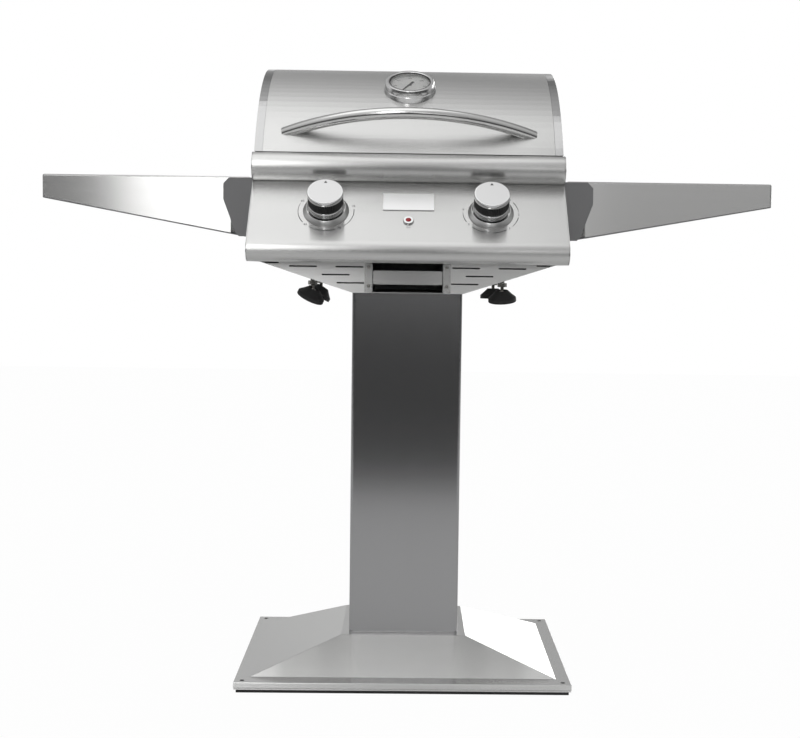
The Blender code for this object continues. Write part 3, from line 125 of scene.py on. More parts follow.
def mottle(tree, shader, size, low, high):
    """Lets the roughness wander between two values over patches of a size in metres."""
    place = add_node(tree, "ShaderNodeTexCoord")
    patches = add_node(
        tree, "ShaderNodeTexNoise", {"Scale": 1 / size, "Detail": 3.0},
        {"Vector": place.outputs["Object"]},
    )
    dullness = add_node(
        tree, "ShaderNodeMapRange",
        {"From Min": 0.35, "From Max": 0.65, "To Min": low, "To Max": high},
        {"Value": patches.outputs["Fac"]},
    )
    tree.links.new(dullness.outputs["Result"], shader.inputs["Roughness"])


# Moulded rubber: almost black, with a dull broad sheen from its 1.5 mm grain.
moulded_rubber, tree, shader = new_material("moulded_rubber", "#232323", 0.62)
grain(tree, shader, 0.0015, 0.0001)

# Black foot ring: partly painted shade, for the contact shadow under the base's rim.
finish(moulded_rubber, "base_foot_ring")


# Galvanised sheet: the parts that are not seen from outside, which are the column's two end
# plates, the firebox's front wall and the element's support.
# Hot-dipped zinc: dull grey with spangles about 9 mm across, each a little lighter or darker.
SPANGLE = 0.009

galvanised_sheet, tree, shader = new_material("galvanised_sheet", "#A3A5A6", 0.42, 1.0)
place = add_node(tree, "ShaderNodeTexCoord")
spangles = add_node(
    tree, "ShaderNodeTexVoronoi", {"Scale": 1 / SPANGLE}, {"Vector": place.outputs["Object"]}
)
grey = add_node(tree, "ShaderNodeSeparateColor", {}, {"Color": spangles.outputs["Color"]})
dullness = add_node(
    tree, "ShaderNodeMapRange", {"To Min": 0.34, "To Max": 0.52}, {"Value": grey.outputs["Red"]}
)
tree.links.new(dullness.outputs["Result"], shader.inputs["Roughness"])
finish(
    galvanised_sheet,
    "column_foot_plate",
    "column_top_plate",
    "firebox_front",
    "element_support",
)


# Base cover, bottom plate and column: stainless sheet folded into a low hip, a flat plate
# under it, and a rectangular tube in its middle. Cover and plate are brushed along the
# grill's width, the tube along its length.
# The brush lines of 180 grit are 0.1 mm apart; here they are 0.8 mm wide, so that they show.
BRUSH_WIDTH = 0.0008
BRUSH_LENGTH = 0.20
# The lines run a little off their axis, so that a face across the axis still has a direction.
BRUSH_DRIFT = 0.02


def brushed_steel(name, colour, roughness, along):
    """Stainless steel with brush lines along an axis: 0 across, 1 front to back, 2 upright."""
    material, tree, shader = new_material(
        name, colour, roughness, 1.0, Anisotropic=0.97, Anisotropic_Rotation=0.25
    )
    scale = [1 / BRUSH_WIDTH] * 3
    scale[along] = 1 / BRUSH_LENGTH
    course = [BRUSH_DRIFT] * 3
    course[along] = 1.0
    direction = add_node(tree, "ShaderNodeCombineXYZ", dict(zip("XYZ", course)))
    tree.links.new(direction.outputs["Vector"], shader.inputs["Tangent"])
    place = add_node(tree, "ShaderNodeTexCoord")
    stretch = add_node(
        tree, "ShaderNodeMapping", {"Scale": scale}, {"Vector": place.outputs["Object"]}
    )
    lines = add_node(
        tree, "ShaderNodeTexNoise", {"Scale": 1.0, "Detail": 3.0, "Roughness": 0.6},
        {"Vector": stretch.outputs["Vector"]},
    )
    dullness = add_node(
        tree, "ShaderNodeMapRange",
        {"From Min": 0.3, "From Max": 0.7, "To Min": roughness - 0.02, "To Max": roughness + 0.02},
        {"Value": lines.outputs["Fac"]},
    )
    bump = add_node(
        tree, "ShaderNodeBump", {"Strength": 0.03, "Distance": 0.0001},
        {"Height": lines.outputs["Fac"]},
    )
    tree.links.new(dullness.outputs["Result"], shader.inputs["Roughness"])
    tree.links.new(bump.outputs["Normal"], shader.inputs["Normal"])
    return material


# Brushed stainless steel: a soft grey mirror whose reflections are drawn out across its lines.
steel_brushed_across = brushed_steel("steel_brushed_across", "#CFCFCE", 0.25, 0)
steel_brushed_lengthways = brushed_steel("steel_brushed_lengthways", "#CFCFCE", 0.25, 1)
# The column's steel is darker than the body's: painted shade, for the dark studio that its front
# reflects.
steel_column_painted_shade = brushed_steel("steel_column_painted_shade", "#AEAEAF", 0.25, 2)

# The base's steel is brushed finer than the body's and is the lightest of the sheets; its lightness
# is painted light, making up for the grill body that darkens its reflections.
steel_base_painted_light = brushed_steel("steel_base_painted_light", "#E0E0DF", 0.22, 0)
finish(steel_column_painted_shade, "column")
finish(steel_base_painted_light, "base_bottom_plate")

# How far a fold is rounded, between which angles in degrees and from what length on, and the
# area over which a face is shaded flat.
FOLD_ROUNDING = 0.0011
FOLD_LEAST = 6.0
FOLD_MOST = 100.0
FOLD_LENGTH = 0.012
FLAT_AREA = 0.00012
FLAT_ANGLE = math.radians(0.5)
WELD_DISTANCE = 0.00001


def new_piece(name, mesh, material, body):
    """A piece with its material, which moves with a body and takes its finish from a slot."""
    piece = bpy.data.objects.new(name, mesh)
    bpy.context.scene.collection.objects.link(piece)
    mesh.materials.clear()
    mesh.materials.append(material)
    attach(piece, body)
    return piece


def smoothed(mesh, angle=math.radians(32.0), flat_area=math.inf):
    """Smooth but for its sharp edges and for faces over an area, which stay flat."""
    mesh.shade_smooth()
    mesh.set_sharp_from_angle(angle=angle)
    for polygon in mesh.polygons:
        if polygon.area > flat_area:
            polygon.use_smooth = False
    return mesh


def rounded_copy(node, rounding, shortest, widest=FOLD_MOST):
    """A copy of a node's mesh whose long folds and edges, up to an angle in degrees, are rounded."""
    work = bmesh.new()
    work.from_mesh(nodes[node].data)
    bmesh.ops.remove_doubles(work, verts=work.verts, dist=WELD_DISTANCE)
    bmesh.ops.dissolve_limit(work, angle_limit=FLAT_ANGLE, verts=work.verts, edges=work.edges)
    folds = [
        edge
        for edge in work.edges
        if edge.is_manifold
        and edge.calc_length() > shortest
        and FOLD_LEAST < math.degrees(edge.calc_face_angle()) < widest
    ]
    bmesh.ops.bevel(
        work, geom=folds, offset=rounding, offset_type="OFFSET", segments=3, profile=0.5,
        affect="EDGES", clamp_overlap=True,
    )
    mesh = bpy.data.meshes.new(node + "_rounded")
    work.to_mesh(mesh)
    work.free()
    return smoothed(mesh, flat_area=FLAT_AREA)


piece = new_piece(
    "base_cover_folded", rounded_copy("base_cover", FOLD_ROUNDING, FOLD_LENGTH),
    steel_base_painted_light, "grill_body",
)
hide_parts("base_cover")


# Underbody and side panels: brushed sheet. The front of the underbody is a slotted V, and its
# floors slope up from the column to the side panels.
# The front is brushed coarser than the rest, so that it gathers light from further round, and its
# steel is lighter than the rest: painted light, for a front that would otherwise reflect the dark
# studio.
steel_underbody_painted_light = brushed_steel("steel_underbody_painted_light", "#DCDCDB", 0.34, 0)
finish(steel_underbody_painted_light, "underbody_front")
finish(
    steel_brushed_across,
    "underbody_bottom",
    "underbody_floor_right",
    "underbody_floor_left",
    "rear_panel",
)
finish(steel_brushed_lengthways, "side_panel_right", "side_panel_left")


# Drip tray and its rails: a shallow folded tray on two ledges. Each rail is fixed to the
# panel by two cross-recessed screws of nickel-plated steel.
finish(steel_brushed_across, "drip_tray", "tray_rail_right", "tray_rail_left")

SCREW_RADIUS = 0.0031
SCREW_HEIGHT = 0.0018
SCREW_CROSS_LENGTH = 0.0036
SCREW_CROSS_WIDTH = 0.0009
SCREW_X = 0.0655
SCREW_HEIGHTS = 0.679, 0.711

# Nickel plate: a bright, slightly warm mirror.
nickel_plate, tree, shader = new_material("nickel_plate", "#9A9894", 0.10, 1.0)
mottle(tree, shader, 0.003, 0.07, 0.13)


def turned_mesh(name, profile, steps, ribs=None):
    """A round mesh about +Z from (radius, height) points, top first.

    Where ribs is given, it says how far each step is drawn in, in turn, as on a knurl."""
    work = bmesh.new()
    rings = []
    for radius, height in profile:
        if radius == 0.0:
            rings.append([work.verts.new((0.0, 0.0, height))])
            continue
        ring = []
        for step in range(steps):
            angle = math.tau * step / steps
            reach = radius - (ribs[step % len(ribs)] if ribs else 0.0)
            ring.append(work.verts.new((reach * math.cos(angle), reach * math.sin(angle), height)))
        rings.append(ring)
    for upper, lower in zip(rings, rings[1:]):
        for step in range(steps):
            following = (step + 1) % steps
            corners = [upper[step % len(upper)], lower[step % len(lower)]]
            if len(lower) > 1:
                corners.append(lower[following])
            if len(upper) > 1:
                corners.append(upper[following])
            work.faces.new(corners)
    if profile[0][0] and profile[-1][0]:
        for step in range(steps):
            following = (step + 1) % steps
            first, last = rings[0], rings[-1]
            work.faces.new([last[step], first[step], first[following], last[following]])
    bmesh.ops.recalc_face_normals(work, faces=work.faces)
    mesh = bpy.data.meshes.new(name)
    work.to_mesh(mesh)
    work.free()
    return smoothed(mesh)


def boxes_mesh(name, boxes):
    """One mesh of several boxes, each a size and a centre."""
    work = bmesh.new()
    for size, centre in boxes:
        made = bmesh.ops.create_cube(work, size=1.0)
        bmesh.ops.scale(work, vec=size, verts=made["verts"])
        bmesh.ops.translate(work, vec=centre, verts=made["verts"])
    mesh = bpy.data.meshes.new(name)
    work.to_mesh(mesh)
    work.free()
    return mesh


def cut_out(mesh, *cutters):
    """The mesh less its cutters, which are meshes in the same frame."""
    scene = bpy.context.scene.collection.objects
    body = bpy.data.objects.new("body_to_cut", mesh)
    scene.link(body)
    tools = []
    for cutter in cutters:
        tool = bpy.data.objects.new("cutter", cutter)
        scene.link(tool)
        tools.append(tool)
        modifier = body.modifiers.new("cut", "BOOLEAN")
        modifier.operation = "DIFFERENCE"
        modifier.solver = "EXACT"
        modifier.object = tool
    bpy.context.view_layer.update()
    graph = bpy.context.evaluated_depsgraph_get()
    result = bpy.data.meshes.new_from_object(body.evaluated_get(graph), depsgraph=graph)
    for item in [body, *tools]:
        bpy.data.objects.remove(item)
    return smoothed(result)


screw_dome = [
    (0.0, SCREW_HEIGHT),
    (SCREW_RADIUS * 0.55, SCREW_HEIGHT * 0.93),
    (SCREW_RADIUS * 0.85, SCREW_HEIGHT * 0.70),
    (SCREW_RADIUS, SCREW_HEIGHT * 0.30),
    (SCREW_RADIUS, 0.0),
    (0.0, 0.0),
]
screw_cross = boxes_mesh(
    "screw_cross",
    [
        ((SCREW_CROSS_LENGTH, SCREW_CROSS_WIDTH, SCREW_HEIGHT), (0.0, 0.0, SCREW_HEIGHT)),
        ((SCREW_CROSS_WIDTH, SCREW_CROSS_LENGTH, SCREW_HEIGHT), (0.0, 0.0, SCREW_HEIGHT * 1.01)),
    ],
)
screw_head = cut_out(turned_mesh("screw_head", screw_dome, 24), screw_cross)
strip_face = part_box("tray_rail_right")[0].y
for side_name, side in (("left", -1), ("right", 1)):
    for level_name, height in zip(("lower", "upper"), SCREW_HEIGHTS):
        head = screw_head.copy()
        head.transform(Matrix.Rotation(math.pi / 2, 4, "X"))
        head.transform(Matrix.Translation((side * SCREW_X, strip_face, height)))
        new_piece(
            f"rail_screw_{side_name}_{level_name}", head, nickel_plate, "grill_body"
        )


# Control panel and front rail: two brushed sheets, the panel rolled round at its foot, the
# rail a half round over it. The badge plate is a blank of anodised aluminium.
ROLL_FLAT_AREA = 0.008
ROLL_ROUNDING = 0.0022
ROLL_EDGE_LENGTH = 0.30
ROLL_MOST = 50.0
BADGE_ROUNDING = 0.0004

for name in ("control_panel", "front_rail"):
    sheet = rounded_copy(name, ROLL_ROUNDING, ROLL_EDGE_LENGTH, ROLL_MOST)
    sheet = smoothed(sheet, flat_area=ROLL_FLAT_AREA)
    piece = new_piece(name + "_rolled", sheet, steel_brushed_across, "grill_body")
    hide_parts(name)

# Anodised aluminium: the badge plate's fine matt silver, which is lighter than the steel.
anodised_aluminium, tree, shader = new_material("anodised_aluminium", "#E6E6E6", 0.30, 1.0)
grain(tree, shader, 0.0006, 0.00001)
piece = new_piece(
    "badge_plate_blank", rounded_copy("badge_plate", BADGE_ROUNDING, FOLD_LENGTH),
    anodised_aluminium, "grill_body",
)
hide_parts("badge_plate")

panel_slope = math.atan2(joints["timer_turn"]["axis"][1], -joints["timer_turn"]["axis"][2])


def on_panel(x, up, out=0.0):
    """The matrix that puts a piece, drawn with +Y up and +Z outwards, on the panel's face."""
    face = Vector(joints["timer_turn"]["pos_m"])
    turn = Matrix.Rotation(panel_slope, 4, "X")
    return Matrix.Translation((0.0, face.y, face.z)) @ turn @ Matrix.Translation((x, up, out))


# Indicator: a polished ring round a moulded lens, which the lamp behind it lights.
polished_steel, tree, shader = new_material("polished_steel", "#D9D9D9", 0.07, 1.0)
mottle(tree, shader, 0.006, 0.05, 0.10)
# Clear red acrylic: deep red and glossy.
red_acrylic, tree, shader = new_material("red_acrylic", "#A81420", 0.12, 0.0)
mottle(tree, shader, 0.002, 0.10, 0.16)
finish(polished_steel, "indicator_bezel")
finish(red_acrylic, "indicator_lens")


# Knobs: a polished cap and skirt turned from one bar, and between them a black moulded grip
# with upright ribs. A bezel ring, pressed from sheet, stands round each knob.
KNOB_RADIUS = 0.030
KNOB_HEIGHT = 0.0445
KNOB_CAP_BOTTOM = 0.0365
KNOB_SKIRT_TOP = 0.019
KNOB_FOOT = 0.008
KNOB_CORE_RADIUS = 0.026
KNOB_SHAFT_RADIUS = 0.003
KNOB_SHAFT_REACH = 0.016
KNOB_CLEARANCE = 0.0003
RIB_COUNT = 60
RIB_DEPTH = 0.0009
BEZEL_RADIUS = 0.0385
BEZEL_BORE = 0.032
BEZEL_HEIGHT = 0.0075
FACE_RADIUS = 0.0280
FACE_THICKNESS = 0.0001
POINTER = [(-0.0028, 0.0200), (0.0028, 0.0200), (0.0, 0.0250)]

# Satin steel: the bezels' pressed sheet, dulled evenly by fine abrasive.
satin_steel, tree, shader = new_material("satin_steel", "#D2D2D1", 0.30, 1.0)
grain(tree, shader, 0.0008, 0.00002)
# Black ABS: moulded, dull, with soft highlights on its ribs.
black_abs, tree, shader = new_material("black_abs", "#1B1B1B", 0.42)
grain(tree, shader, 0.0006, 0.00002)
# Satin aluminium: the cap's face, turned flat and dulled, so that it shines evenly.
satin_aluminium, tree, shader = new_material("satin_aluminium", "#CECECE", 0.30, 1.0)
grain(tree, shader, 0.0006, 0.00001)
# Black screen ink, printed on the steel.
black_ink, tree, shader = new_material("black_ink", "#2E2E2E", 0.50)
mottle(tree, shader, 0.001, 0.44, 0.56)
finish(black_abs, "timer_unit", "thermostat_unit")

knob_profile = [
    (0.0, KNOB_HEIGHT),
    (0.0284, KNOB_HEIGHT),
    (0.0292, 0.0443),
    (0.0297, 0.0437),
    (0.0299, 0.0428),
    (KNOB_RADIUS, 0.0410),
    (KNOB_RADIUS, 0.0373),
    (0.0297, 0.0368),
    (0.0292, KNOB_CAP_BOTTOM),
    (KNOB_CORE_RADIUS, KNOB_CAP_BOTTOM),
    (KNOB_CORE_RADIUS, KNOB_SKIRT_TOP),
    (0.0284, KNOB_SKIRT_TOP),
    (0.0291, 0.0187),
    (0.0296, 0.0180),
    (KNOB_RADIUS, 0.0168),
    (KNOB_RADIUS, KNOB_FOOT),
    (KNOB_SHAFT_RADIUS, KNOB_FOOT),
    (KNOB_SHAFT_RADIUS, -KNOB_SHAFT_REACH),
    (0.0, -KNOB_SHAFT_REACH),
]
grip_low = KNOB_SKIRT_TOP + KNOB_CLEARANCE
grip_high = KNOB_CAP_BOTTOM - KNOB_CLEARANCE
GRIP_RADIUS = 0.0296
grip_profile = [
    (KNOB_CORE_RADIUS + RIB_DEPTH + KNOB_CLEARANCE, grip_high),
    (0.0289, grip_high),
    (GRIP_RADIUS, grip_high - 0.0008),
    (GRIP_RADIUS, grip_low + 0.0008),
    (0.0289, grip_low),
    (KNOB_CORE_RADIUS + RIB_DEPTH + KNOB_CLEARANCE, grip_low),
]
bezel_profile = [
    (BEZEL_BORE, BEZEL_HEIGHT - 0.0005),
    (BEZEL_BORE + 0.0004, BEZEL_HEIGHT),
    (BEZEL_BORE + 0.0010, BEZEL_HEIGHT),
    (BEZEL_BORE + 0.0016, 0.0071),
    (0.0376, 0.0020),
    (0.0383, 0.0013),
    (BEZEL_RADIUS, 0.0008),
    (BEZEL_RADIUS, 0.0),
    (BEZEL_BORE, 0.0),
]


def flat_mesh(name, outlines, thickness):
    """Closed outlines in the XY plane, filled and given a thickness upwards from zero."""
    work = bmesh.new()
    for outline in outlines:
        lower = [work.verts.new((x, y, 0.0)) for x, y in outline]
        upper = [work.verts.new((x, y, thickness)) for x, y in outline]
        work.faces.new(list(reversed(lower)))
        work.faces.new(upper)
        for index in range(len(outline)):
            after = (index + 1) % len(outline)
            work.faces.new([lower[index], lower[after], upper[after], upper[index]])
    bmesh.ops.recalc_face_normals(work, faces=work.faces)
    mesh = bpy.data.meshes.new(name)
    work.to_mesh(mesh)
    work.free()
    return mesh


for control in ("timer", "thermostat"):
    x = joints[control + "_turn"]["pos_m"][0]
    knob = turned_mesh(control + "_knob_metal", knob_profile, 96)
    knob.transform(on_panel(x, 0.0))
    piece = new_piece(
        control + "_knob_metal", knob, polished_steel, control + "_knob"
    )
    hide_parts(control + "_knob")
    grip = turned_mesh(
        control + "_knob_ribs", grip_profile, RIB_COUNT * 4, (0.0, 0.0, RIB_DEPTH, RIB_DEPTH)
    )
    grip.transform(on_panel(x, 0.0))
    piece = new_piece(control + "_knob_ribs", grip, black_abs, control + "_knob")
    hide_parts(control + "_knob_grip")
    bezel = turned_mesh(control + "_bezel_ring", bezel_profile, 96)
    bezel.transform(on_panel(x, 0.0, KNOB_CLEARANCE))
    piece = new_piece(control + "_bezel_ring", bezel, satin_steel, "grill_body")
    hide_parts(control + "_bezel")
    # The cap's face is a disc of satin aluminium with a small black pointer at its top.
    disc_profile = [
        (0.0, FACE_THICKNESS), (FACE_RADIUS, FACE_THICKNESS), (FACE_RADIUS, 0.0), (0.0, 0.0)
    ]
    disc = turned_mesh(control + "_knob_face", disc_profile, 96)
    disc.transform(on_panel(x, 0.0, KNOB_HEIGHT))
    new_piece(control + "_knob_face", disc, satin_aluminium, control + "_knob")
    pointer = flat_mesh(control + "_knob_pointer", [POINTER], FACE_THICKNESS)
    pointer.transform(on_panel(x, 0.0, KNOB_HEIGHT + FACE_THICKNESS))
    new_piece(control + "_knob_pointer", pointer, black_ink, control + "_knob")


# Dial marks: arcs and plain numbers, printed in black ink round the bezels, and the word
# under the indicator. The numbers follow the knobs' travel, clockwise from OFF at the top.
INK_THICKNESS = 0.00008
ARC_RADIUS = 0.0468
NUMBER_SIZE = 0.0062
NUMBER_HALF_ANGLE = 9.0
ARC_WIDE = 0.0013
ARC_NARROW = 0.0007
WORD_SIZE = 0.0042
WORD_DROP = 0.0372


def text_mesh(name, words, size, thickness):
    """Words as a thin solid, centred on the origin in the XY plane."""
    curve = bpy.data.curves.new(name, "FONT")
    curve.body = words
    curve.size = size
    curve.align_x = "CENTER"
    curve.align_y = "CENTER"
    curve.extrude = thickness / 2
    curve.resolution_u = 3
    source = bpy.data.objects.new(name, curve)
    bpy.context.scene.collection.objects.link(source)
    bpy.context.view_layer.update()
    graph = bpy.context.evaluated_depsgraph_get()
    mesh = bpy.data.meshes.new_from_object(source.evaluated_get(graph), depsgraph=graph)
    bpy.data.objects.remove(source)
    mesh.transform(Matrix.Translation((0.0, 0.0, thickness / 2)))
    return mesh


def arc_band(radius, start, end, wide_start, wide_end, step=3.0):
    """Outline of an arc band, in degrees clockwise from the top, that changes its width."""
    count = max(2, math.ceil((end - start) / step))
    outer = []
    inner = []
    for index in range(count + 1):
        share = index / count
        angle = math.radians(start + (end - start) * share)
        half = (wide_start + (wide_end - wide_start) * share) / 2
        outer.append(((radius + half) * math.sin(angle), (radius + half) * math.cos(angle)))
        inner.append(((radius - half) * math.sin(angle), (radius - half) * math.cos(angle)))
    return outer + inner[::-1]


def joined(name, meshes):
    """One mesh of several."""
    work = bmesh.new()
    for mesh in meshes:
        work.from_mesh(mesh)
    result = bpy.data.meshes.new(name)
    work.to_mesh(result)
    work.free()
    return result


def around(angle, radius):
    """The place at an angle in degrees, clockwise from the top."""
    turn = math.radians(angle)
    return Matrix.Translation((radius * math.sin(turn), radius * math.cos(turn), 0.0))


dial_scales = {
    "timer": [("OFF", 0.0), ("15", 75.0), ("30", 150.0), ("45", 225.0), ("60", 300.0)],
    "thermostat": [("OFF", 0.0)] + [(str(n), n * 280.0 / 6) for n in range(1, 7)],
}
for control, marks in dial_scales.items():
    x = joints[control + "_turn"]["pos_m"][0]
    meshes = []
    bands = []
    for words, angle in marks:
        mesh = text_mesh("dial_number", words, NUMBER_SIZE, INK_THICKNESS)
        mesh.transform(around(angle, ARC_RADIUS))
        meshes.append(mesh)
    for index in range(1, len(marks) - 1):
        start = marks[index][1] + NUMBER_HALF_ANGLE
        end = marks[index + 1][1] - NUMBER_HALF_ANGLE
        bands.append(arc_band(ARC_RADIUS, start, end, ARC_WIDE, ARC_NARROW))
    meshes.append(flat_mesh("dial_arcs", bands, INK_THICKNESS))
    print_mesh = joined(control + "_scale", meshes)
    print_mesh.transform(on_panel(x, 0.0, INK_THICKNESS))
    new_piece(control + "_scale", print_mesh, black_ink, "grill_body")
indicator_word = text_mesh("indicator_word", "ON", WORD_SIZE, INK_THICKNESS)
indicator_word.transform(on_panel(0.0, -WORD_DROP, INK_THICKNESS))
new_piece("indicator_word", indicator_word, black_ink, "grill_body")


# Lid: a rolled shell of brushed sheet between two buffed end caps, with hinge pins in
# brackets behind it, and a bowed handle of polished tube whose ends are cut to the shell.
LID_RADIUS = 0.344937
LID_CLEARANCE = 0.0003
LID_CENTRE = Vector((0.0, 0.18671, 0.7359))
HANDLE_SPAN = 0.408
HANDLE_BOW = 0.048
HANDLE_RADIUS = 0.010
HANDLE_OVERRUN = 1.06
HANDLE_STATIONS = 96
HANDLE_SIDES = 48
HANDLE_ELEVATION = math.radians(36.7)
CAP_ROUNDING = 0.0003

# Satin-polished tube, with reflections that follow its round; its steel is lighter than the sheet's,
# which is painted highlight for the bright line along its top.
steel_tube_painted_highlight, tree, shader = new_material("steel_tube_painted_highlight", "#DADAD9", 0.17, 1.0)
mottle(tree, shader, 0.012, 0.15, 0.19)


def tube_mesh(name, points, radius, sides):
    """A tube along points that lie in one plane, with flat ends."""
    work = bmesh.new()
    rings = []
    normal = (points[1] - points[0]).cross(points[-1] - points[0]).normalized()
    for index, point in enumerate(points):
        course = (points[min(index + 1, len(points) - 1)] - points[max(index - 1, 0)]).normalized()
        across = course.cross(normal)
        ring = []
        for side in range(sides):
            angle = math.tau * side / sides
            outward = math.cos(angle) * across + math.sin(angle) * normal
            ring.append(work.verts.new(point + radius * outward))
        rings.append(ring)
    for first, second in zip(rings, rings[1:]):
        for side in range(sides):
            after = (side + 1) % sides
            work.faces.new([first[side], first[after], second[after], second[side]])
    work.faces.new(rings[0])
    work.faces.new(rings[-1])
    bmesh.ops.recalc_face_normals(work, faces=work.faces)
    mesh = bpy.data.meshes.new(name)
    work.to_mesh(mesh)
    work.free()
    return smoothed(mesh)


def lid_drum():
    """The round that the lid's shell encloses, as a cutter that gives a piece its saddle."""
    reach = LID_RADIUS + LID_CLEARANCE
    drum = turned_mesh("lid_drum", [(0.0, 0.5), (reach, 0.5), (reach, -0.5), (0.0, -0.5)], 360)
    drum.transform(Matrix.Translation(LID_CENTRE) @ Matrix.Rotation(math.pi / 2, 4, "Y"))
    return drum


outward = Vector((0.0, -math.cos(HANDLE_ELEVATION), math.sin(HANDLE_ELEVATION)))
bow_radius = ((HANDLE_SPAN / 2) ** 2 + HANDLE_BOW**2) / (2 * HANDLE_BOW)
bow_spread = math.asin(HANDLE_SPAN / 2 / bow_radius) * HANDLE_OVERRUN
bow = []
for index in range(HANDLE_STATIONS + 1):
    turn = bow_spread * (2 * index / HANDLE_STATIONS - 1)
    rise = LID_RADIUS + bow_radius * math.cos(turn) - (bow_radius - HANDLE_BOW)
    bow.append(LID_CENTRE + outward * rise + Vector((bow_radius * math.sin(turn), 0.0, 0.0)))
handle = cut_out(tube_mesh("lid_handle_tube", bow, HANDLE_RADIUS, HANDLE_SIDES), lid_drum())
piece = new_piece("lid_handle_tube", handle, steel_tube_painted_highlight, "lid")
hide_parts("lid_handle")
finish(steel_brushed_across, "lid_shell", "hinge_bracket_right", "hinge_bracket_left")
finish(polished_steel, "hinge_pin_right", "hinge_pin_left")
# Buffed steel: the end caps, with a softer shine than the knobs.
buffed_steel, tree, shader = new_material("buffed_steel", "#BDBDBD", 0.16, 1.0)
mottle(tree, shader, 0.008, 0.13, 0.19)
for side in ("right", "left"):
    cap = rounded_copy("lid_end_" + side, CAP_ROUNDING, FOLD_LENGTH)
    piece = new_piece("lid_end_cap_" + side, cap, buffed_steel, "lid")
    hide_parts("lid_end_" + side)


# Thermometer: a turned case with a rolled rim, a white enamelled dial, a black needle on the
# probe's shaft, and a flat glass under the rim. The dial has plain numbers.
DIAL_SPREAD = 300.0
DIAL_TOP = 0.0092
DIAL_INK_GAP = 0.00004
TICK_COUNT = 31
TICK_RADIUS = 0.0315
TICKS_PER_NUMBER = 5
# Reach and width of the dial's long and short ticks.
LONG_TICK = 0.0034, 0.0009
SHORT_TICK = 0.0018, 0.0005
DIAL_NUMBERS = 7
DIAL_NUMBER_STEP = 100
DIAL_NUMBER_SIZE = 0.0048
DIAL_NUMBER_RADIUS = 0.0265

# Float glass: clear, with a sharp reflection.
float_glass, tree, shader = new_material(
    "float_glass", "#FFFFFF", 0.02, 0.0, Transmission_Weight=1.0, IOR=1.5
)
# White enamel: fired on the dial, faintly glossy.
white_enamel, tree, shader = new_material("white_enamel", "#FDFDFB", 0.30)
mottle(tree, shader, 0.004, 0.27, 0.33)
finish(white_enamel, "thermometer_dial")
finish(float_glass, "thermometer_glass")
finish(black_abs, "thermometer_needle")
finish(nickel_plate, "thermometer_probe")

needle_axis = joints["needle_turn"]["axis"]
needle_place = Vector(joints["needle_turn"]["pos_m"])
dial_slope = math.atan2(needle_axis[1], -needle_axis[2])
dial_turn = Matrix.Rotation(dial_slope, 4, "X")
ticks = []
for index in range(TICK_COUNT):
    angle = DIAL_SPREAD * (index / (TICK_COUNT - 1) - 0.5)
    reach, width = SHORT_TICK if index % TICKS_PER_NUMBER else LONG_TICK
    turn = Matrix.Rotation(-math.radians(angle), 2)
    corners = [(-width / 2, 0.0), (width / 2, 0.0), (width / 2, reach), (-width / 2, reach)]
    ticks.append([tuple(turn @ Vector((a, b + TICK_RADIUS))) for a, b in corners])
dial_marks = [flat_mesh("dial_ticks", ticks, INK_THICKNESS)]
for index in range(DIAL_NUMBERS):
    angle = DIAL_SPREAD * (index / (DIAL_NUMBERS - 1) - 0.5)
    number = str(DIAL_NUMBER_STEP * (index + 1))
    mesh = text_mesh("dial_number", number, DIAL_NUMBER_SIZE, INK_THICKNESS)
    mesh.transform(around(angle, DIAL_NUMBER_RADIUS))
    dial_marks.append(mesh)
case_profile = [
    (0.0365, 0.0172),
    (0.0369, 0.0177),
    (0.0377, 0.0180),
    (0.0415, 0.0180),
    (0.0424, 0.0177),
    (0.0430, 0.0169),
    (0.0446, 0.0082),
    (0.0441, 0.0077),
    (0.0442, 0.0071),
    (0.0448, 0.0066),
    (0.0455, 0.0058),
    (0.0470, -0.0047),
    (0.0033, -0.0047),
    (0.0033, 0.0077),
    (0.0377, 0.0077),
    (0.0377, 0.0159),
    (0.0365, 0.0159),
]
# Satin chrome: the case, brighter and softer than the polished pieces.
satin_chrome, tree, shader = new_material("satin_chrome", "#E2E2E2", 0.18, 1.0)
mottle(tree, shader, 0.004, 0.13, 0.24)
case = turned_mesh("thermometer_case_turned", case_profile, 128)
case.transform(Matrix.Translation(needle_place) @ dial_turn)
case = cut_out(case, lid_drum())
piece = new_piece("thermometer_case_turned", case, satin_chrome, "lid")
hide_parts("thermometer_case")
# A black rubber ring seals the glass under the rim.
seal_profile = [(0.0352, 0.0170), (0.0363, 0.0170), (0.0363, 0.0158), (0.0352, 0.0158)]
seal = turned_mesh("thermometer_seal", seal_profile, 128)
seal.transform(Matrix.Translation(needle_place) @ dial_turn)
new_piece("thermometer_seal", seal, moulded_rubber, "lid")
dial_print = joined("thermometer_scale", dial_marks)
print_place = Matrix.Translation((0.0, 0.0, DIAL_TOP + DIAL_INK_GAP))
dial_print.transform(Matrix.Translation(needle_place) @ dial_turn @ print_place)
new_piece("thermometer_scale", dial_print, black_ink, "lid")


# Cooking grates and heating element: two cast-iron grates enamelled matt black, over a
# bent element in a steel sheath that heat has turned dark.
# Enamelled iron: black, with a coarse cast grain under a dull glaze.
enamelled_iron, tree, shader = new_material("enamelled_iron", "#242425", 0.48, 0.0)
grain(tree, shader, 0.002, 0.00012)
# Heat-tinted steel sheath: dark brown grey, satin.
tinted_sheath, tree, shader = new_material("tinted_sheath", "#6B645D", 0.40, 1.0)
finish(enamelled_iron, "cooking_grate_right", "cooking_grate_left")
finish(tinted_sheath, "heating_element")


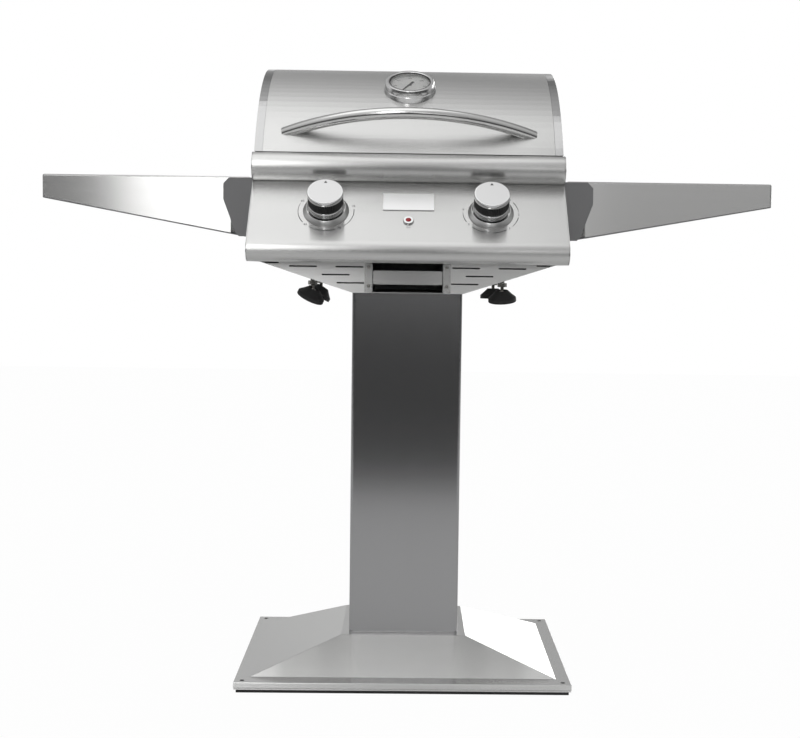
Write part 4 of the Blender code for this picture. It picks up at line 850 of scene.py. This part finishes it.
# Side shelves and brackets: folded sheet, brushed along the shelf, with a rolled hem round its
# lower edge. Each shelf lifts off the studs of a channel that is fixed to the side panel.
# Rolled steel: left as it comes from the mill, dull and grey. On the shelves' hems its dark grey is
# painted shade, for the shade under their lower edges.
mill_steel_and_painted_shade, tree, shader = new_material("mill_steel_and_painted_shade", "#8A8A8B", 0.50, 1.0)
grain(tree, shader, 0.0018, 0.00005)
# The shelves are brushed finer than the body, so that their reflections have clearer edges.
steel_shelf = brushed_steel("steel_shelf", "#CFCFCE", 0.20, 0)

STUD_X = 0.2995
SLOT_HALF_WIDTH = 0.0048
HEM_RADIUS = 0.0023
HEM_SIDES = 16
# How near the outer end of a shelf a corner lies that belongs to its outer apron.
APRON_REACH = 0.004

for side_name, side in (("right", 1), ("left", -1)):
    low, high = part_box("shelf_" + side_name)
    inner_x, outer_x = sorted((abs(low.x), abs(high.x)))
    source = nodes["shelf_" + side_name].data
    outer_low = min(v.co.z for v in source.vertices if abs(v.co.x) > outer_x - APRON_REACH)
    slope = (outer_low - low.z) / (outer_x - inner_x)
    work = bmesh.new()
    work.from_mesh(source)
    bmesh.ops.remove_doubles(work, verts=work.verts, dist=WELD_DISTANCE)
    cut_place = Vector((side * inner_x, 0.0, low.z + HEM_RADIUS))
    cut_normal = Vector((-side * slope, 0.0, 1.0)).normalized()
    bmesh.ops.bisect_plane(
        work, geom=[*work.verts, *work.edges, *work.faces], plane_co=cut_place,
        plane_no=-cut_normal, clear_outer=True,
    )
    bmesh.ops.holes_fill(work, edges=[edge for edge in work.edges if edge.is_boundary], sides=0)
    board = bpy.data.meshes.new("shelf_board_" + side_name)
    work.to_mesh(board)
    work.free()
    board = smoothed(board, flat_area=FLAT_AREA)
    # The hem starts outside the slots that the studs stand in.
    start_x = STUD_X + SLOT_HALF_WIDTH
    start_z = low.z + slope * (start_x - inner_x) + HEM_RADIUS
    end_x = outer_x - HEM_RADIUS
    end_z = outer_low + HEM_RADIUS
    front_y = low.y + HEM_RADIUS
    rear_y = high.y - HEM_RADIUS
    line = [
        Vector((side * start_x, front_y, start_z)),
        Vector((side * end_x, front_y, end_z)),
        Vector((side * end_x, rear_y, end_z)),
        Vector((side * start_x, rear_y, start_z)),
    ]
    piece = new_piece(
        "shelf_board_" + side_name, board, steel_shelf, "shelf_" + side_name
    )
    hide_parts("shelf_" + side_name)
    # The hem's dark steel is painted shade, for the shade under the shelf's lower edge.
    hem = tube_mesh("shelf_hem_" + side_name, line, HEM_RADIUS, HEM_SIDES)
    new_piece("shelf_hem_" + side_name, hem, mill_steel_and_painted_shade, "shelf_" + side_name)
    bracket = nodes["shelf_bracket_" + side_name].data.copy()
    piece = new_piece(
        "shelf_channel_" + side_name, smoothed(bracket, flat_area=FLAT_AREA), mill_steel_and_painted_shade,
        "grill_body",
    )
    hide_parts("shelf_bracket_" + side_name)


# Feet: studs of nickel-plated steel, each a thread with a hexagon and a ball at its end, and
# black rubber pads that snap over the balls and hang as they have come to rest.
STUD_TOP = 0.0398
STUD_RADIUS = 0.0040
STUD_PITCH = 0.0013
STUD_GROOVE = 0.0005
HEX_LOW = 0.0133
HEX_HIGH = 0.0203
HEX_RADIUS = 0.0080
HEX_CHAMFER = 0.0008
NECK_RADIUS = 0.0031
NECK_LOW = 0.0064
BALL_RADIUS = 0.0070
SOCKET_RADIUS = 0.0073
SOCKET_MOUTH = 19.0
# Elevations in degrees where the ball meets its neck and where its round ends, and its step.
BALL_NECK = 63.0
BALL_END = -82.0
ROUND_STEP = 8.0
PAD_FRONT_LEAN = math.radians(12.0)
PAD_TILTS = {"front_left": 26.0, "rear_left": 33.0, "front_right": -4.0, "rear_right": 0.0}


def thread_profile(radius, top, low):
    """The rings of a thread, from its top down."""
    count = int((top - low) / STUD_PITCH)
    points = []
    for index in range(count):
        height = top - index * STUD_PITCH
        points.append((radius - STUD_GROOVE, height))
        points.append((radius, height - STUD_PITCH * 0.35))
        points.append((radius, height - STUD_PITCH * 0.65))
    return points


def arc_profile(radius, start, end, step):
    """Points on a round about the origin, between two elevations in degrees."""
    count = math.ceil(abs(end - start) / step)
    turns = [math.radians(start + (end - start) * index / count) for index in range(count + 1)]
    return [(radius * math.cos(turn), radius * math.sin(turn)) for turn in turns]


stud_profile = [
    (0.0, STUD_TOP),
    (STUD_RADIUS - STUD_GROOVE, STUD_TOP),
    *thread_profile(STUD_RADIUS, STUD_TOP - STUD_PITCH, HEX_HIGH),
    *thread_profile(NECK_RADIUS, HEX_LOW, NECK_LOW),
    *arc_profile(BALL_RADIUS, BALL_NECK, BALL_END, ROUND_STEP),
    (0.0, -BALL_RADIUS),
]
hex_profile = [
    (0.0, HEX_HIGH),
    (HEX_RADIUS - HEX_CHAMFER, HEX_HIGH),
    (HEX_RADIUS, HEX_HIGH - HEX_CHAMFER),
    (HEX_RADIUS, HEX_LOW + HEX_CHAMFER),
    (HEX_RADIUS - HEX_CHAMFER, HEX_LOW),
    (0.0, HEX_LOW),
]
pad_profile = [
    (0.0, -SOCKET_RADIUS),
    *arc_profile(SOCKET_RADIUS, BALL_END, SOCKET_MOUTH, ROUND_STEP),
    (0.0101, 0.0075),
    (0.0109, 0.0074),
    (0.0115, 0.0066),
    (0.0172, 0.0010),
    (0.0229, -0.0040),
    (0.0237, -0.0047),
    (0.0240, -0.0056),
    (0.0240, -0.0109),
    (0.0235, -0.0115),
    (0.0, -0.0115),
]
for corner, tilt in PAD_TILTS.items():
    ball = Vector(joints["foot_tilt_" + corner]["pos_m"])
    name = "foot_stud_" + corner
    thread = turned_mesh("stud_thread", stud_profile, 32)
    stud = joined(name, [thread, turned_mesh("stud_hexagon", hex_profile, 6)])
    stud.transform(Matrix.Translation(ball))
    piece = new_piece(name + "_threaded", smoothed(stud), nickel_plate, name)
    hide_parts(name)
    pad = turned_mesh("foot_pad_" + corner, pad_profile, 72)
    lean = PAD_FRONT_LEAN if corner.startswith("front") else 0.0
    turn = Matrix.Rotation(math.radians(tilt), 4, "Y") @ Matrix.Rotation(lean, 4, "X")
    pad.transform(Matrix.Translation(ball) @ turn)
    name = "foot_pad_" + corner
    piece = new_piece(name + "_moulded", pad, moulded_rubber, name)
    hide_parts(name)


# Power inlet: a socket moulded in black ABS, in the rear panel.
finish(black_abs, "power_inlet")

INLET_WALL = 0.002
BLADE_LENGTH = 0.014
BLADE_ROUNDING = 0.0003
# Size across and upright of each contact blade, and its place from the socket's middle.
BLADES = [
    (0.002, 0.004, -0.007, -0.0015),
    (0.002, 0.004, 0.007, -0.0015),
    (0.0022, 0.0045, 0.0, 0.0038),
]

low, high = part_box("power_inlet")
middle = (low + high) / 2
blade_y = low.y + INLET_WALL + BLADE_LENGTH / 2
blades = boxes_mesh(
    "inlet_blades",
    [
        ((width, BLADE_LENGTH, height), (middle.x + across, blade_y, middle.z + up))
        for width, height, across, up in BLADES
    ],
)
work = bmesh.new()
work.from_mesh(blades)
bmesh.ops.bevel(
    work, geom=work.edges[:], offset=BLADE_ROUNDING, segments=2, affect="EDGES", profile=0.5
)
work.to_mesh(blades)
work.free()
new_piece("inlet_blades", blades, nickel_plate, "grill_body")


# Studio: a white floor, an even white sky behind the grill and soft boxes round it. The
# camera stands in front, a little left of the middle, and looks down by four degrees.
FLOOR_SIZE = 14.0
FLOOR_FRONT = -2.1
PLAIN_WHITE_SHARE = 0.97

floor_mesh = bpy.data.meshes.new("studio_floor")
half = FLOOR_SIZE / 2
floor_mesh.from_pydata(
    [(-half, FLOOR_FRONT, 0.0), (half, FLOOR_FRONT, 0.0), (half, half, 0.0), (-half, half, 0.0)],
    [],
    [(0, 1, 2, 3)],
)
floor = bpy.data.objects.new("studio_floor", floor_mesh)
bpy.context.scene.collection.objects.link(floor)
# Matt white paper: to the camera it is mostly plain white, and keeps a soft shadow.
white_paper, tree, shader = new_material("white_paper", "#F2F2F2", 0.90)
floor_mesh.materials.append(white_paper)
rays = add_node(tree, "ShaderNodeLightPath")
glow = add_node(tree, "ShaderNodeEmission", {"Strength": 1.0})
share = add_node(
    tree, "ShaderNodeMath", {"operation": "MULTIPLY"}, {0: rays.outputs["Is Camera Ray"]}
)
share.inputs[1].default_value = PLAIN_WHITE_SHARE
mixed = add_node(
    tree, "ShaderNodeMixShader", {},
    {0: share.outputs["Value"], 1: shader.outputs["BSDF"], 2: glow.outputs["Emission"]},
)
tree.links.new(mixed.outputs["Shader"], tree.nodes["Material Output"].inputs["Surface"])

world = bpy.data.worlds.new("studio")
world.use_nodes = True
bpy.context.scene.world = world
tree = world.node_tree
tree.nodes.clear()
view = add_node(tree, "ShaderNodeTexCoord")
parts = add_node(tree, "ShaderNodeSeparateXYZ", {}, {"Vector": view.outputs["Generated"]})
# How bright the studio is towards its front and its back, by height from the ground up.
FRONT_LEVELS = (0.00, 0.08), (0.05, 0.09), (0.12, 0.32), (0.40, 0.52), (0.70, 0.66), (1.00, 0.70)
BACK_LEVELS = (0.00, 0.48), (0.24, 0.52), (0.46, 0.30), (0.68, 0.22), (0.88, 0.48), (1.00, 0.70)


def height_ramp(levels):
    """Brightness by the height of a direction."""
    node = add_node(tree, "ShaderNodeValToRGB", {}, {"Fac": parts.outputs["Z"]})
    stops = node.color_ramp.elements
    for index, (height, level) in enumerate(levels):
        stop = stops[index] if index < len(stops) else stops.new(height)
        stop.position = height
        stop.color = (level, level, level, 1.0)
    return node.outputs["Color"]


def fade(socket, start, end):
    """Rises softly from 0 to 1 between two values; falls where the start is the higher one."""
    low, high = sorted((start, end))
    rising = start < end
    node = add_node(
        tree, "ShaderNodeMapRange",
        {
            "interpolation_type": "SMOOTHSTEP",
            "From Min": low,
            "From Max": high,
            "To Min": 0.0 if rising else 1.0,
            "To Max": 1.0 if rising else 0.0,
        },
        {"Value": socket},
    )
    return node.outputs["Result"]


def maths(operation, first, second):
    """A sum or product of two sockets, or of a socket and a number."""
    node = add_node(tree, "ShaderNodeMath", {"operation": operation}, {0: first})
    if isinstance(second, float):
        node.inputs[1].default_value = second
    else:
        tree.links.new(second, node.inputs[1])
    return node.outputs["Value"]


turned_back = maths("MULTIPLY", parts.outputs["Y"], -1.0)
front_azimuth = maths("ARCTAN2", parts.outputs["X"], turned_back)
back_azimuth = maths("ARCTAN2", parts.outputs["X"], parts.outputs["Y"])
towards_back = fade(parts.outputs["Y"], -0.15, 0.15)
sides = add_node(
    tree, "ShaderNodeMix", {"data_type": "FLOAT"},
    {0: towards_back, 2: height_ramp(FRONT_LEVELS), 3: height_ramp(BACK_LEVELS)},
)
# The left half of the studio is brighter than the right.
LEFT_SHARE = 1.15
RIGHT_SHARE = 0.87
leaning = add_node(
    tree, "ShaderNodeMapRange",
    {"From Min": -0.15, "From Max": 0.15, "To Min": LEFT_SHARE, "To Max": RIGHT_SHARE},
    {"Value": parts.outputs["X"]},
)
total = maths("MULTIPLY", sides.outputs[0], leaning.outputs["Result"])
# The camera and its stand show as a dark stripe, whose sides fade between two azimuths in
# degrees and whose top fades between two heights.
STRIPE_LEFT = math.radians(-2.9), math.radians(-1.7)
STRIPE_RIGHT = math.radians(3.0), math.radians(1.8)
STRIPE_TOP = 0.45, 0.20
STRIPE_DEPTH = 0.75
stripe_left = fade(front_azimuth, *STRIPE_LEFT)
stripe_right = fade(front_azimuth, *STRIPE_RIGHT)
stripe = maths("MULTIPLY", stripe_left, stripe_right)
stripe = maths("MULTIPLY", stripe, fade(parts.outputs["Z"], *STRIPE_TOP))
stripe = maths("MULTIPLY", stripe, -STRIPE_DEPTH)
total = maths("MULTIPLY", total, maths("ADD", stripe, 1.0))
# Soft boxes: whether it stands in front, its azimuths from the left and its elevations in
# degrees, how softly its edge fades, and its brightness.
SOFT_BOXES = [
    (True, -11.7, -6.4, 2.0, 40.0, 0.5, 3.7),
    (True, -6.4, -2.8, 2.0, 40.0, 1.0, 1.2),
    (True, 2.4, 6.8, 1.0, 14.0, 1.0, 1.5),
    (True, 6.8, 18.0, -2.0, 12.0, 1.0, 0.56),
    (False, 11.0, 60.0, 4.0, 26.0, 2.0, 3.2),
    (False, 4.0, 20.0, 24.0, 36.0, 3.0, 0.5),
    (False, -16.0, 2.0, 8.0, 20.0, 5.0, 0.35),
]


def height_of(elevation):
    """The height of a direction at an elevation in degrees."""
    return math.sin(math.radians(elevation))


for in_front, left, right, low, high, edge, brightness in SOFT_BOXES:
    azimuth = front_azimuth if in_front else back_azimuth
    height = parts.outputs["Z"]
    edges = [
        (azimuth, math.radians(right + edge), math.radians(right - edge)),
        (height, height_of(low - edge), height_of(low + edge)),
        (height, height_of(high + edge), height_of(high - edge)),
    ]
    shine = fade(azimuth, math.radians(left - edge), math.radians(left + edge))
    for socket, start, end in edges:
        shine = maths("MULTIPLY", shine, fade(socket, start, end))
    total = maths("ADD", total, maths("MULTIPLY", shine, brightness))
rays = add_node(tree, "ShaderNodeLightPath")
shown = add_node(
    tree, "ShaderNodeMix", {"data_type": "FLOAT"},
    {0: rays.outputs["Is Camera Ray"], 2: total},
)
shown.inputs[3].default_value = 1.0
backdrop = add_node(
    tree, "ShaderNodeBackground", {"Color": (1.0, 1.0, 1.0, 1.0)}, {"Strength": shown.outputs[0]}
)
add_node(tree, "ShaderNodeOutputWorld", {}, {"Surface": backdrop.outputs["Background"]})


def soft_lamp(name, place, target, width, power):
    """A square area lamp that the camera does not see."""
    light = bpy.data.lights.new(name, "AREA")
    light.shape = "SQUARE"
    light.size = width
    light.energy = power
    lamp = bpy.data.objects.new(name, light)
    bpy.context.scene.collection.objects.link(lamp)
    lamp.location = place
    lamp.rotation_euler = (Vector(target) - Vector(place)).to_track_quat("-Z", "Y").to_euler()
    lamp.visible_camera = False


soft_lamp("overhead_lamp", (-0.3, -0.6, 3.2), (0.0, 0.0, 0.6), 2.0, 8.0)

# Camera: where the photograph was taken from.
IMAGE_WIDTH = 800
FOCAL_PIXELS = 1375.8
CAMERA_PLACE = (-0.00549, -2.47717, 0.7105)
CAMERA_YAW = math.radians(1.018)
CAMERA_PITCH = math.radians(4.197)
CAMERA_ROLL = math.radians(0.789)
CAMERA_SHIFT = -0.0346

lens = bpy.data.cameras.new("camera")
lens.sensor_fit = "HORIZONTAL"
lens.lens = FOCAL_PIXELS / IMAGE_WIDTH * lens.sensor_width
lens.shift_x = CAMERA_SHIFT
camera = bpy.data.objects.new("camera", lens)
bpy.context.scene.collection.objects.link(camera)
camera.matrix_world = (
    Matrix.Translation(CAMERA_PLACE)
    @ Matrix.Rotation(-CAMERA_YAW, 4, "Z")
    @ Matrix.Rotation(math.pi / 2 - CAMERA_PITCH, 4, "X")
    @ Matrix.Rotation(CAMERA_ROLL, 4, "Z")
)
bpy.context.scene.camera = camera
bpy.context.scene.view_settings.view_transform = "Standard"
